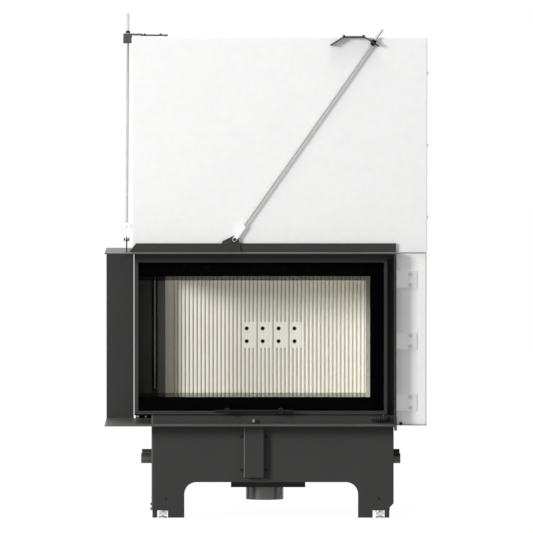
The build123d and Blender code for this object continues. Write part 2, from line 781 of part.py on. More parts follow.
# carriages: plate behind the stile, two guide bushes and a rope clamp
arm_x = door_right - 6
arm_l = door_left + 11.5
rope_y = back_wheel_y - wheel_r
with BuildPart() as carriages:
    with BuildSketch(Plane.YZ.offset(arm_x)):
        with Locations((door_back, bush_low)):
            Rectangle(-130 - door_back, bush_high + bush_h - bush_low, align=LOW)
    extrude(amount=carriage_t)
    for z in (bush_low, bush_high):
        with BuildSketch(Plane.XY.offset(z)):
            with Locations((arm_x + carriage_t, right_guide[1] - 12)):
                Rectangle(right_guide[0] + 11 - arm_x - carriage_t, 24, align=LOW)
            with Locations(right_guide):
                Circle(guide_r + guide_gap, mode=Mode.SUBTRACT)
        extrude(amount=bush_h)
    with BuildSketch(Plane.XY.offset(clamp_z)):
        with Locations((arm_x + carriage_t, front_wheel_y - wheel_r - 7)):
            Rectangle(right_rope_x + 6 - arm_x - carriage_t, 14, align=LOW)
        with Locations((right_rope_x, front_wheel_y - wheel_r)):
            Circle(rope_r + rope_gap, mode=Mode.SUBTRACT)
    extrude(amount=clamp_h)
    with BuildSketch(Plane.YZ.offset(arm_l)):
        with Locations((side_end, bush_low)):
            Rectangle(rope_y + 7 - side_end, bush_high + bush_h - bush_low, align=LOW)
    extrude(amount=carriage_t)
    for z in (bush_low, bush_high):
        with BuildSketch(Plane.XY.offset(z)):
            with Locations((arm_l + carriage_t, left_guide[1] - 14)):
                Rectangle(left_guide[0] + 12 - arm_l - carriage_t, 27, align=LOW)
            with Locations(left_guide):
                Circle(guide_r + guide_gap, mode=Mode.SUBTRACT)
        extrude(amount=bush_h)
    with BuildSketch(Plane.XY.offset(clamp_z)):
        with Locations((arm_l + carriage_t, rope_y - 7)):
            Rectangle(left_rope_x + 6 - arm_l - carriage_t, 14, align=LOW)
        with Locations((left_rope_x, rope_y)):
            Circle(rope_r + rope_gap, mode=Mode.SUBTRACT)
    extrude(amount=clamp_h)
carriages.part.label = "carriages"
export_step(carriages.part, "parts/carriages.step")

# ================= lift gear =================
with BuildPart() as guide_rods:
    for spot in (right_guide, left_guide):
        with BuildSketch(Plane.XY.offset(deck_z)):
            with Locations(spot):
                Circle(guide_r)
        extrude(amount=shaft_top - sheet - deck_z)
guide_rods.part.label = "guide_rods"
export_step(guide_rods.part, "parts/guide_rods.step")

groove_r = wheel_r - rope_r - rope_gap
with BuildPart() as sync_shaft:
    with BuildSketch(Plane.YZ.offset(left_rope_x - 20)):
        with Locations((back_wheel_y, upper_wheel_z)):
            Circle(shaft_r)
    extrude(amount=right_rope_x - left_rope_x + 40)
    for x in (left_rope_x, right_rope_x):
        with BuildSketch(Plane.XY.offset(upper_wheel_z)):
            with BuildLine():
                Polyline(
                    (x - wheel_w / 2, back_wheel_y + shaft_r - 1),
                    (x - wheel_w / 2, back_wheel_y + wheel_rim),
                    (x - wheel_w / 2 + 1.5, back_wheel_y + wheel_rim),
                    (x - rope_r - rope_gap, back_wheel_y + groove_r),
                    (x + rope_r + rope_gap, back_wheel_y + groove_r),
                    (x + wheel_w / 2 - 1.5, back_wheel_y + wheel_rim),
                    (x + wheel_w / 2, back_wheel_y + wheel_rim),
                    (x + wheel_w / 2, back_wheel_y + shaft_r - 1),
                    close=True,
                )
            make_face()
        revolve(axis=Axis((0, back_wheel_y, upper_wheel_z), (1, 0, 0)))
sync_shaft.part.label = "sync_shaft"
export_step(sync_shaft.part, "parts/sync_shaft.step")

idlers = (
    ("idler_right_top", right_rope_x, front_wheel_y, upper_wheel_z),
    ("idler_right_front", right_rope_x, front_wheel_y, lower_wheel_z),
    ("idler_right_back", right_rope_x, back_wheel_y, lower_wheel_z),
    ("idler_left_low", left_rope_x, back_wheel_y, lower_wheel_z),
)
for idler_name, ix, iy, iz in idlers:
    with BuildPart() as idler:
        with BuildSketch(Plane.XY.offset(iz)):
            with BuildLine():
                Polyline(
                    (ix - wheel_w / 2, iy + pin_r + run),
                    (ix - wheel_w / 2, iy + wheel_rim),
                    (ix - wheel_w / 2 + 1.5, iy + wheel_rim),
                    (ix - rope_r - rope_gap, iy + groove_r),
                    (ix + rope_r + rope_gap, iy + groove_r),
                    (ix + wheel_w / 2 - 1.5, iy + wheel_rim),
                    (ix + wheel_w / 2, iy + wheel_rim),
                    (ix + wheel_w / 2, iy + pin_r + run),
                    close=True,
                )
            make_face()
        revolve(axis=Axis((0, iy, iz), (1, 0, 0)))
    idler.part.label = idler_name
    export_step(idler.part, "parts/" + idler_name + ".step")

# bearing plates beside the wheels, hung from the shaft top or standing on the deck, with the idlers' pins
bearing_out = wheel_w / 2 + 3
bearing_y = weight_y - 6
with BuildPart() as bearing_plates:
    for idler_name, ix, iy, iz in idlers:
        turn = 1 if ix > 0 else -1
        with BuildSketch(Plane.YZ.offset(ix - turn * (wheel_w / 2 + 1))):
            with Locations((iy, iz)):
                Circle(pin_r)
        extrude(amount=turn * (wheel_w / 2 + 1 + bearing_out + bearing_t))
        with BuildSketch(Plane.YZ.offset(ix - turn * (wheel_w / 2 + 1))):
            with Locations((iy, iz)):
                Circle(pin_r + 3)
        extrude(amount=-turn * 3)
    with BuildSketch(Plane.YZ.offset(right_rope_x + bearing_out)):
        with Locations((front_wheel_y - 36, upper_wheel_z - 45)):
            Rectangle(bearing_y - front_wheel_y + 36, shaft_top - sheet - upper_wheel_z + 45, align=LOW)
        with Locations((back_wheel_y, upper_wheel_z)):
            Circle(shaft_r + run, mode=Mode.SUBTRACT)
    extrude(amount=bearing_t)
    with BuildSketch(Plane.YZ.offset(left_rope_x - bearing_out - bearing_t)):
        with Locations((back_wheel_y - 60, upper_wheel_z - 45)):
            Rectangle(bearing_y - back_wheel_y + 60, shaft_top - sheet - upper_wheel_z + 45, align=LOW)
        with Locations((back_wheel_y, upper_wheel_z)):
            Circle(shaft_r + run, mode=Mode.SUBTRACT)
    extrude(amount=bearing_t)
    with BuildSketch(Plane.YZ.offset(right_rope_x + bearing_out)):
        with Locations((front_wheel_y - 20, deck_z)):
            Rectangle(bearing_y - front_wheel_y + 20, lower_wheel_z + 33 - deck_z, align=LOW)
        with Locations(((front_wheel_y + back_wheel_y) / 2, lower_wheel_z + 33)):
            SlotOverall(230, 40, mode=Mode.SUBTRACT)
    extrude(amount=bearing_t)
    with BuildSketch(Plane.YZ.offset(left_rope_x - bearing_out - bearing_t)):
        with Locations((back_wheel_y - 20, deck_z)):
            Rectangle(bearing_y - back_wheel_y + 20, lower_wheel_z + 33 - deck_z, align=LOW)
    extrude(amount=bearing_t)
bearing_plates.part.label = "bearing_plates"
export_step(bearing_plates.part, "parts/bearing_plates.step")

with BuildPart() as ropes:
    for rx, y_low in ((right_rope_x, front_wheel_y - wheel_r), (left_rope_x, back_wheel_y - wheel_r)):
        y_top = back_wheel_y + wheel_r
        z_low = lower_wheel_z - wheel_r
        z_top = upper_wheel_z + wheel_r
        with BuildSketch(Plane.YZ.offset(rx), mode=Mode.PRIVATE) as loop_face:
            with Locations(((y_low + y_top) / 2, (z_low + z_top) / 2)):
                if y_top - y_low > 2 * wheel_r + 1:
                    RectangleRounded(y_top - y_low, z_top - z_low, wheel_r)
                else:
                    SlotOverall(z_top - z_low, 2 * wheel_r, rotation=90)
        loop_wire = loop_face.sketch.faces()[0].outer_wire()
        start = loop_wire.position_at(0)
        rope_plane = Plane(origin=start, z_dir=loop_wire.tangent_at(0))
        with BuildSketch(rope_plane, mode=Mode.PRIVATE) as rope_section:
            RegularPolygon(radius=rope_r, side_count=8)
        add(sweep(sections=rope_section.sketch, path=loop_wire, mode=Mode.PRIVATE))
ropes.part.label = "ropes"
export_step(ropes.part, "parts/ropes.step")

for weight_name, wx, lug_x in (
    ("counterweight_right", right_rope_x - 5, right_rope_x),
    ("counterweight_left", left_rope_x - 35, left_rope_x),
):
    with BuildPart() as weight:
        with BuildSketch(Plane.XY.offset(weight_z)):
            with Locations((wx, weight_y)):
                Rectangle(weight_w, weight_t, align=LOW)
        extrude(amount=weight_h)
        chamfer(weight.edges().filter_by(Axis.Z), length=2)
        with BuildSketch(Plane.XY.offset(weight_z + weight_h / 2 - clamp_h / 2)):
            with Locations((lug_x - 5, back_wheel_y + wheel_r - 5)):
                Rectangle(16, weight_y - back_wheel_y - wheel_r + 6, align=LOW)
            with Locations((lug_x, back_wheel_y + wheel_r)):
                Circle(rope_r + rope_gap, mode=Mode.SUBTRACT)
        extrude(amount=clamp_h)
    weight.part.label = weight_name
    export_step(weight.part, "parts/" + weight_name + ".step")

# ================= shaft and casing sheets =================
with BuildPart() as shaft_front_sheet:
    with BuildSketch(Plane.XY.offset(upper_top)):
        with BuildLine():
            FilletPolyline(
                (shaft_left + 0.75, shaft_in + shaft_lip),
                (shaft_left + 0.75, shaft_front + 0.75),
                (shaft_right - 0.75, shaft_front + 0.75),
                (shaft_right - 0.75, shaft_in + shaft_lip),
                radius=2,
            )
            offset(amount=sheet / 2, side=Side.BOTH, kind=Kind.INTERSECTION)
        make_face()
    extrude(amount=shaft_top - sheet - upper_top)
shaft_front_sheet.part.label = "shaft_front_sheet"
export_step(shaft_front_sheet.part, "parts/shaft_front_sheet.step")

leg_y = shaft_in + shaft_lip + 1.1
with BuildPart() as shaft_side_sheets:
    with BuildSketch(Plane.XY.offset(upper_top)):
        with BuildLine():
            Polyline(
                (shaft_left, leg_y),
                (shaft_left, frame_back),
                (left_inner, frame_back),
                (left_inner, frame_back - sheet),
                (shaft_left_in, frame_back - sheet),
                (shaft_left_in, leg_y),
                close=True,
            )
        make_face()
    extrude(amount=shaft_top - sheet - upper_top)
    with BuildSketch(Plane.XY.offset(upper_top)):
        with BuildLine():
            Polyline(
                (shaft_right, leg_y),
                (shaft_right, frame_back),
                (right_inner, frame_back),
                (right_inner, frame_back - sheet),
                (shaft_right - sheet, frame_back - sheet),
                (shaft_right - sheet, leg_y),
                close=True,
            )
        make_face()
    extrude(amount=shaft_top - sheet - upper_top)
shaft_side_sheets.part.label = "shaft_side_sheets"
export_step(shaft_side_sheets.part, "parts/shaft_side_sheets.step")

inner_low = shell_top + shell_t
with BuildPart() as shaft_inner_sheets:
    with BuildSketch(Plane.XZ.offset(-front_inner)):
        with Locations((left_inner, inner_low)):
            Rectangle(right_inner - left_inner, shaft_top - sheet - inner_low, align=LOW)
    extrude(amount=sheet)
    for x in (left_inner - sheet, right_inner):
        with BuildSketch(Plane.YZ.offset(x)):
            with Locations((front_inner - sheet, inner_low)):
                Rectangle(frame_back - sheet - front_inner + sheet, shaft_top - sheet - inner_low, align=LOW)
            with Locations((back_wheel_y, upper_wheel_z)):
                Circle(shaft_r + 4, mode=Mode.SUBTRACT)
            with Locations((panel_y - 20, inner_low - 1)):
                Rectangle(frame_back, upper_top - inner_low + 1.3, align=LOW, mode=Mode.SUBTRACT)
        extrude(amount=sheet)
shaft_inner_sheets.part.label = "shaft_inner_sheets"
export_step(shaft_inner_sheets.part, "parts/shaft_inner_sheets.step")

with BuildPart() as shaft_cover:
    with BuildSketch(Plane.XY.offset(shaft_top - sheet)):
        with Locations((shaft_left, shaft_front)):
            Rectangle(shaft_right - shaft_left, frame_back - shaft_front, align=LOW)
        with Locations((left_inner, front_inner)):
            Rectangle(right_inner - left_inner, frame_back - front_inner, align=LOW, mode=Mode.SUBTRACT)
    extrude(amount=sheet)
shaft_cover.part.label = "shaft_cover"
export_step(shaft_cover.part, "parts/shaft_cover.step")

with BuildPart() as right_casing:
    with BuildSketch(Plane.XY.offset(lower_top)):
        with BuildLine():
            Polyline(
                (frame_right, casing_front),
                (casing_right, casing_front),
                (casing_right, frame_back),
                (right_inner + 6, frame_back),
                (right_inner + 6, frame_back - sheet),
                (casing_right - sheet, frame_back - sheet),
                (casing_right - sheet, casing_front + sheet),
                (frame_right, casing_front + sheet),
                close=True,
            )
        make_face()
    extrude(amount=upper_top - 0.5 - lower_top)
    with BuildSketch(Plane.XY.offset(upper_top - 2)):
        with Locations((frame_right + 0.3, casing_front - casing_lip)):
            Rectangle(casing_right - frame_right - 0.3, shaft_front + 12 - casing_front + casing_lip, align=LOW)
    extrude(amount=2)
right_casing.part.label = "right_casing"
export_step(right_casing.part, "parts/right_casing.step")

low_bracket_z = lower_top + casing_bracket_low
high_bracket_z = upper_flange_z - casing_bracket_high
bracket_zs = (low_bracket_z, (low_bracket_z + high_bracket_z) / 2, high_bracket_z)
with BuildPart() as casing_brackets:
    for z in bracket_zs:
        with BuildSketch(Plane.XY.offset(z)):
            with BuildLine():
                Polyline(
                    (frame_right, casing_front - casing_bracket_d),
                    (frame_right + casing_bracket_t, casing_front - casing_bracket_d),
                    (frame_right + casing_bracket_t, casing_front - casing_bracket_t),
                    (frame_right + casing_bracket_w, casing_front - casing_bracket_t),
                    (frame_right + casing_bracket_w, casing_front),
                    (frame_right, casing_front),
                    close=True,
                )
            make_face()
        extrude(amount=casing_bracket_h)
casing_brackets.part.label = "casing_brackets"
export_step(casing_brackets.part, "parts/casing_brackets.step")

with BuildPart() as casing_screws:
    for z in bracket_zs:
        for screw_z in (z + 10.5, z + casing_bracket_h - 10.5):
            with BuildSketch(Plane.XZ.offset(-(casing_front - casing_bracket_t))):
                with Locations((frame_right + casing_bracket_w * 2 / 3, screw_z)):
                    RegularPolygon(radius=casing_screw_r, side_count=6)
            extrude(amount=casing_screw_r * 0.7)
casing_screws.part.label = "casing_screws"
export_step(casing_screws.part, "parts/casing_screws.step")

with BuildPart() as shaft_fixings:
    for n in range(3):
        with BuildSketch(Plane.YZ.offset(shaft_right)):
            with Locations((shaft_front + fixing_y, upper_top + shaft_screw_z + n * shaft_screw_pitch)):
                RegularPolygon(radius=shaft_screw_r, side_count=6)
        extrude(amount=shaft_screw_h)
    for n in range(4):
        with BuildSketch(Plane.YZ.offset(shaft_left - shaft_tab_t)):
            with Locations((shaft_front + fixing_y, upper_top + shaft_tab_z + n * shaft_tab_pitch)):
                RectangleRounded(14, 18, 3)
        extrude(amount=shaft_tab_t)
shaft_fixings.part.label = "shaft_fixings"
export_step(shaft_fixings.part, "parts/shaft_fixings.step")

# ================= combustion air =================
with BuildPart() as air_box:
    with BuildSketch(Plane.XY.offset(air_box_z)):
        with Locations(((air_left + air_right) / 2, air_y)):
            Rectangle(air_right - air_left, air_depth)
    extrude(amount=deck_z - plate - air_box_z)
    with BuildSketch(Plane.XY.offset(air_box_z + air_wall)):
        with Locations(((air_left + air_right) / 2, air_y)):
            Rectangle(air_right - air_left - 2 * air_wall, air_depth - 2 * air_wall)
    extrude(amount=deck_z, mode=Mode.SUBTRACT)
    with BuildSketch(Plane.XY.offset(air_box_z - 1)):
        with Locations((air_x, air_y)):
            Circle(air_r - air_wall)
    extrude(amount=10, mode=Mode.SUBTRACT)
    lever_x = (cover_left + cover_right) / 2
    port_angles = [90 + n * 4 * lever_turn for n in (-3, -1, 1, 3)]
    with BuildSketch(Plane.XZ.offset(-(air_y - air_depth / 2 + air_wall + 1))):
        for angle in port_angles:
            port = (lever_x + port_ring * cos(radians(angle)), lever_z + port_ring * sin(radians(angle)))
            with Locations(port):
                Circle(port_r)
    extrude(amount=air_wall + 2, mode=Mode.SUBTRACT)
air_box.part.label = "air_box"
export_step(air_box.part, "parts/air_box.step")

with BuildPart() as air_spigot:
    with BuildSketch(Plane.XY.offset(air_low)):
        with Locations((air_x, air_y)):
            Circle(air_r)
            Circle(air_r - air_wall, mode=Mode.SUBTRACT)
    extrude(amount=air_box_z - air_low)
    with BuildSketch(Plane.XY.offset(air_box_z - bead_h)):
        with Locations((air_x, air_y)):
            Circle(bead_r)
            Circle(air_r - air_wall, mode=Mode.SUBTRACT)
    extrude(amount=bead_h)
air_spigot.part.label = "air_spigot"
export_step(air_spigot.part, "parts/air_spigot.step")

with BuildPart() as air_cover:
    with BuildSketch(Plane.XY.offset(cover_low)):
        with BuildLine():
            Polyline(
                (cover_left - wing, base_front - 1.5),
                (cover_left, base_front - 1.5),
                (cover_left, base_front - cover_out),
                (cover_right, base_front - cover_out),
                (cover_right, base_front - 1.5),
                (cover_right + wing, base_front - 1.5),
                (cover_right + wing, base_front),
                (cover_right - 1.5, base_front),
                (cover_right - 1.5, base_front - cover_out + 1.5),
                (cover_left + 1.5, base_front - cover_out + 1.5),
                (cover_left + 1.5, base_front),
                (cover_left - wing, base_front),
                close=True,
            )
        make_face()
    extrude(amount=cover_high - cover_low)
    fillet(air_cover.edges().filter_by(Axis.Z).group_by(Axis.Y)[0], radius=1.4)
    with BuildSketch(Plane.XY.offset(cover_low)):
        with Locations((cover_left + 1, base_front - cover_out + 1)):
            Rectangle(cover_right - cover_left - 2, cover_out - 1, align=LOW)
    extrude(amount=1.5)
air_cover.part.label = "air_cover"
export_step(air_cover.part, "parts/air_cover.step")

with BuildPart() as cover_screws:
    for x in (cover_left - wing / 2, cover_right + wing / 2):
        for z in (cover_low + 24, cover_high - 34):
            with BuildSketch(Plane.XZ.offset(-(base_front - 1.5))):
                with Locations((x, z)):
                    Circle(cover_screw_r)
            extrude(amount=2.6)
cover_screws.part.label = "cover_screws"
export_step(cover_screws.part, "parts/cover_screws.step")

# lever, its spindle through the base plate and the register disc on the air box
lever_y = base_front - cover_out / 2
with BuildPart() as air_lever:
    with BuildSketch(Plane.XZ.offset(-(lever_y + lever_t / 2))):
        with Locations((lever_x, lever_z)):
            Circle(lever_w)
        with Locations((lever_x - lever_w / 2, lever_z)):
            Rectangle(lever_w, lower_top + 6 - lever_z, align=LOW)
    extrude(amount=lever_t)
    with BuildSketch(Plane.XZ.offset(-(air_y - air_depth / 2 - 0.4))):
        with Locations((lever_x, lever_z)):
            Circle(pin_r)
    extrude(amount=air_y - air_depth / 2 - 0.4 - lever_y)
    with BuildSketch(Plane.XZ.offset(-(air_y - air_depth / 2 - 0.4))):
        with Locations((lever_x, lever_z)):
            Circle(register_r)
        for angle in port_angles:
            port = (lever_x + port_ring * cos(radians(angle)), lever_z + port_ring * sin(radians(angle)))
            with Locations(port):
                Circle(port_r, mode=Mode.SUBTRACT)
    extrude(amount=2)
air_lever.part.label = "air_lever"
export_step(air_lever.part, "parts/air_lever.step")

with BuildPart() as lever_knob:
    with BuildSketch(Plane.XY.offset(lower_top + 6)):
        with Locations((lever_x, lever_y)):
            Circle(knob_r)
    extrude(amount=knob_h)
    chamfer(lever_knob.edges().filter_by(GeomType.CIRCLE).group_by(Axis.Z)[-1], length=knob_r / 3)
lever_knob.part.label = "lever_knob"
export_step(lever_knob.part, "parts/lever_knob.step")

# latch barrel under the door's lower right corner, on a pin between two ears
with BuildPart() as latch_barrel:
    with BuildSketch(Plane.YZ.offset(latch_x)):
        with Locations((latch_y, latch_z)):
            Circle(latch_r)
            Circle(pin_r - 1 + run, mode=Mode.SUBTRACT)
    extrude(amount=latch_len)
    chamfer(latch_barrel.edges().filter_by(GeomType.CIRCLE).filter_by(lambda e: e.radius > 8), length=1)
latch_barrel.part.label = "latch_barrel"
export_step(latch_barrel.part, "parts/latch_barrel.step")

with BuildPart() as latch_bracket:
    for x in (latch_x - 3.3, latch_x + latch_len + 0.3):
        with BuildSketch(Plane.YZ.offset(x)):
            with Locations((latch_y, latch_z - 6)):
                Rectangle(base_front - latch_y, 12, align=LOW)
            with Locations((latch_y, latch_z)):
                Circle(6)
        extrude(amount=3)
    with BuildSketch(Plane.YZ.offset(latch_x - 3.3)):
        with Locations((latch_y, latch_z)):
            Circle(pin_r - 1)
    extrude(amount=latch_len + 6.6)
latch_bracket.part.label = "latch_bracket"
export_step(latch_bracket.part, "parts/latch_bracket.step")

# ================= stay rods, clevises, lugs and hat brackets =================
right_rod_y = shaft_front - rod_stand
left_rod_x = shaft_left - hat_out - bracket_w / 2

# right rod in a plane parallel to the front; left rod in a plane parallel to the side
right_plane = Plane(
    origin=(right_pivot_x, right_rod_y, pivot_z),
    x_dir=(cos(radians(right_lean)), 0, -sin(radians(right_lean))),
    z_dir=(sin(radians(right_lean)), 0, cos(radians(right_lean))),
)
left_plane = Plane(
    origin=(left_rod_x, left_pivot_y, pivot_z),
    x_dir=(0, cos(radians(left_lean)), -sin(radians(left_lean))),
    z_dir=(0, sin(radians(left_lean)), cos(radians(left_lean))),
)
half = lug_t / 2 + strap_gap
with BuildPart() as stay_rods:
    for rod_plane in (right_plane, left_plane):
        with BuildSketch(rod_plane.offset(clevis_len)):
            Circle(rod_r)
        extrude(amount=rod_len - clevis_len)
stay_rods.part.label = "stay_rods"
export_step(stay_rods.part, "parts/stay_rods.step")

with BuildPart() as clevises:
    for rod_plane in (right_plane, left_plane):
        eye = Plane(rod_plane.origin, x_dir=rod_plane.z_dir, z_dir=rod_plane.y_dir)
        for turn in (1, -1):
            with BuildSketch(eye.offset(turn * half)):
                with Locations((clevis_len / 2, 0)):
                    Rectangle(clevis_len, strap_w)
                Circle(strap_w / 2)
                Circle(bolt_r + seat, mode=Mode.SUBTRACT)
            extrude(amount=turn * strap_t)
        with BuildSketch(rod_plane.offset(clevis_len - 10)):
            Rectangle(strap_w, 2 * half + 2 * strap_t)
        extrude(amount=10)
clevises.part.label = "clevises"
export_step(clevises.part, "parts/clevises.step")

with BuildPart() as clevis_bolts:
    for rod_plane in (right_plane, left_plane):
        eye = Plane(rod_plane.origin, x_dir=rod_plane.z_dir, z_dir=rod_plane.y_dir)
        with BuildSketch(eye.offset(-half - strap_t - 4)):
            Circle(bolt_r)
        extrude(amount=2 * (half + strap_t) + 8)
        for z in (-half - strap_t - 4, half + strap_t):
            with BuildSketch(eye.offset(z)):
                RegularPolygon(radius=2 * bolt_r, side_count=6)
            extrude(amount=4)
clevis_bolts.part.label = "clevis_bolts"
export_step(clevis_bolts.part, "parts/clevis_bolts.step")

with BuildPart() as stay_lugs:
    with BuildSketch(Plane.XZ.offset(-(right_rod_y + lug_t / 2))):
        with BuildLine():
            Polyline(
                (right_pivot_x - 44, upper_top),
                (right_pivot_x + 22, upper_top),
                (right_pivot_x + 18, upper_top + 22),
                (right_pivot_x + 12, upper_top + 46),
                (right_pivot_x + 2, upper_top + 56),
                (right_pivot_x - 12, upper_top + 50),
                (right_pivot_x - 40, upper_top + 36),
                (right_pivot_x - 44, upper_top + 22),
                close=True,
            )
        make_face()
        with Locations((right_pivot_x, pivot_z)):
            Circle(bolt_r + seat, mode=Mode.SUBTRACT)
    extrude(amount=lug_t)
    with BuildSketch(Plane.YZ.offset(left_rod_x - lug_t / 2)):
        with BuildLine():
            Polyline(
                (left_pivot_y - 22, upper_top),
                (left_pivot_y + 22, upper_top),
                (left_pivot_y + 12, upper_top + 46),
                (left_pivot_y, upper_top + 52),
                (left_pivot_y - 12, upper_top + 46),
                close=True,
            )
        make_face()
        with Locations((left_pivot_y, pivot_z)):
            Circle(bolt_r + seat, mode=Mode.SUBTRACT)
    extrude(amount=lug_t)
stay_lugs.part.label = "stay_lugs"
export_step(stay_lugs.part, "parts/stay_lugs.step")

# hat bracket profile, drawn across the rod's plane: near slope, flat, far slope
with BuildPart() as hat_brackets:
    for tag, base_plane, lean in (("right", right_plane, right_lean), ("left", left_plane, left_lean)):
        lift = hat_step if tag == "left" else 0
        rise = shaft_top + lift + bracket_t / 2 - pivot_z
        along = rise * tan(radians(lean))
        if tag == "right":
            hat_plane = Plane((right_pivot_x + along, shaft_front, pivot_z + rise), x_dir=(1, 0, 0), z_dir=(0, -1, 0))
            arm_plane = Plane((right_pivot_x + along, shaft_front, shaft_top), x_dir=(1, 0, 0), z_dir=(0, 0, 1))
            inward = 1
        else:
            hat_plane = Plane((shaft_left - hat_out, left_pivot_y + along, pivot_z + rise), x_dir=(0, 1, 0), z_dir=(1, 0, 0))
            arm_plane = Plane((shaft_left - hat_out, left_pivot_y + along, shaft_top), x_dir=(0, 1, 0), z_dir=(0, 0, 1))
            inward = -1
        near = hat_near * cos(radians(hat_slope))
        near_drop = hat_near * sin(radians(hat_slope))
        far = hat_far * cos(radians(hat_slope))
        far_drop = hat_far * sin(radians(hat_slope))
        with BuildSketch(hat_plane):
            with BuildLine():
                Polyline(
                    (-hat_in - hat_mid - near, -near_drop),
                    (-hat_in - hat_mid, 0),
                    (-hat_in, 0),
                    (-hat_in + far, -far_drop),
                )
                offset(amount=bracket_t / 2, side=Side.BOTH, kind=Kind.INTERSECTION)
            make_face()
        extrude(amount=inward * bracket_w)
        if lift:
            with BuildSketch(arm_plane.offset(lift)):
                with Locations((-hat_in - hat_mid / 2, inward * hat_rise_l / 2)):
                    Rectangle(hat_mid, hat_rise_l)
            extrude(amount=bracket_t)
            with BuildSketch(arm_plane):
                with Locations((-hat_in - hat_mid / 2, inward * (hat_rise_l + hat_arm) / 2)):
                    Rectangle(hat_mid, hat_arm - hat_rise_l + 2 * bracket_t)
            extrude(amount=bracket_t)
        else:
            with BuildSketch(arm_plane):
                with Locations((-hat_in - hat_mid / 2, inward * hat_arm / 2)):
                    Rectangle(hat_mid, hat_arm)
            extrude(amount=bracket_t)
        with BuildSketch(base_plane.offset(rise / cos(radians(lean)) - 60)):
            Circle(rod_r + 1.5)
        extrude(amount=120, mode=Mode.SUBTRACT)
hat_brackets.part.label = "hat_brackets"
export_step(hat_brackets.part, "parts/hat_brackets.step")

print("built")
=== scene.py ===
import math

import bpy
from mathutils import Matrix, Vector


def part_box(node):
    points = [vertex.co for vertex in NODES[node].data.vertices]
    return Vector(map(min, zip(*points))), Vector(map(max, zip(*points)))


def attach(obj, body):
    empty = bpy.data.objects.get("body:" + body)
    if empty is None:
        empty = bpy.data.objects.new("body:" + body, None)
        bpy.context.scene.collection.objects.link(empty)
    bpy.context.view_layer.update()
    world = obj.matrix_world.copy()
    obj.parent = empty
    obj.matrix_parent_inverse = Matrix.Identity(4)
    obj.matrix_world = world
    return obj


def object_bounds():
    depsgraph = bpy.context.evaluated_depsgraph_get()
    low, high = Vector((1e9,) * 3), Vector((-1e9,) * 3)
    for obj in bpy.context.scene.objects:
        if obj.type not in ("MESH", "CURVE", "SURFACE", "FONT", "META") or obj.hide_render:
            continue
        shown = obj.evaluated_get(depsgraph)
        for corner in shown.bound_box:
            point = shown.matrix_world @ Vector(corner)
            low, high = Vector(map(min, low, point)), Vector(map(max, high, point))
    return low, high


bl_info = {
    "name": "Corner Fireplace Insert Finish",
    "version": (1, 0, 0),
    "blender": (4, 5, 0),
    "location": "View3D > Sidebar > Insert",
    "description": "Finishes, glazing print, seals and fixings for a corner insert with a lifting door",
    "category": "Object",
}

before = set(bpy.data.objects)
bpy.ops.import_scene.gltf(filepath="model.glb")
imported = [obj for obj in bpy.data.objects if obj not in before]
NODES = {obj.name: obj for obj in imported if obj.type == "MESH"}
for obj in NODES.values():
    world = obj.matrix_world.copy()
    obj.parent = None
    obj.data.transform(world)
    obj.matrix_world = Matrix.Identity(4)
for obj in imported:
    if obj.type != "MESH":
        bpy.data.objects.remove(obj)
CAD_BOUNDS = [list(v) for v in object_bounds()]


# ---------------------------------------------------------------- settings
class InsertFinishSettings(bpy.types.PropertyGroup):
    coat_colour: bpy.props.FloatVectorProperty(
        name="Coat colour", description="Powder coat of the base, flanges and door",
        subtype="COLOR", size=3, min=0.0, max=1.0, default=(0.0455, 0.0452, 0.0443))
    coat_grain: bpy.props.FloatProperty(
        name="Coat grain", description="Strength of the powder coat's fine texture", default=0.12, min=0.0, max=1.0)
    zinc_sheet_colour: bpy.props.FloatVectorProperty(
        name="Galvanised colour", description="Galvanised sheet of the shaft and casing",
        subtype="COLOR", size=3, min=0.0, max=1.0, default=(0.85, 0.85, 0.845))
    lining_colour: bpy.props.FloatVectorProperty(
        name="Lining colour", description="Cream refractory lining",
        subtype="COLOR", size=3, min=0.0, max=1.0, default=(0.99, 0.97, 0.89))


class InsertGlassSettings(bpy.types.PropertyGroup):
    print_top: bpy.props.FloatProperty(
        name="Print, top", description="Width of the black print along the top of the panes",
        default=0.0457, unit="LENGTH")
    print_foot: bpy.props.FloatProperty(
        name="Print, bottom", description="Width of the black print along the bottom of the panes",
        default=0.0455, unit="LENGTH")
    print_end: bpy.props.FloatProperty(
        name="Print, end", description="Width of the black print at the pane's far end", default=0.046, unit="LENGTH")
    fade: bpy.props.FloatProperty(
        name="Fade", description="Width of the half-tone band along the print's inner edge",
        default=0.014, unit="LENGTH")
    cover: bpy.props.FloatProperty(
        name="Pane in frame", description="How far a pane's edge lies behind the frame", default=0.0045, unit="LENGTH")
    rail: bpy.props.FloatProperty(
        name="Rail", description="Face height of the door's rails", default=0.0115, unit="LENGTH")
    stile: bpy.props.FloatProperty(
        name="Stile", description="Face width of the door's stiles", default=0.011, unit="LENGTH")
    setback: bpy.props.FloatProperty(
        name="Pane setback", description="From the frame's face to the back of the pane",
        default=0.0075, unit="LENGTH")


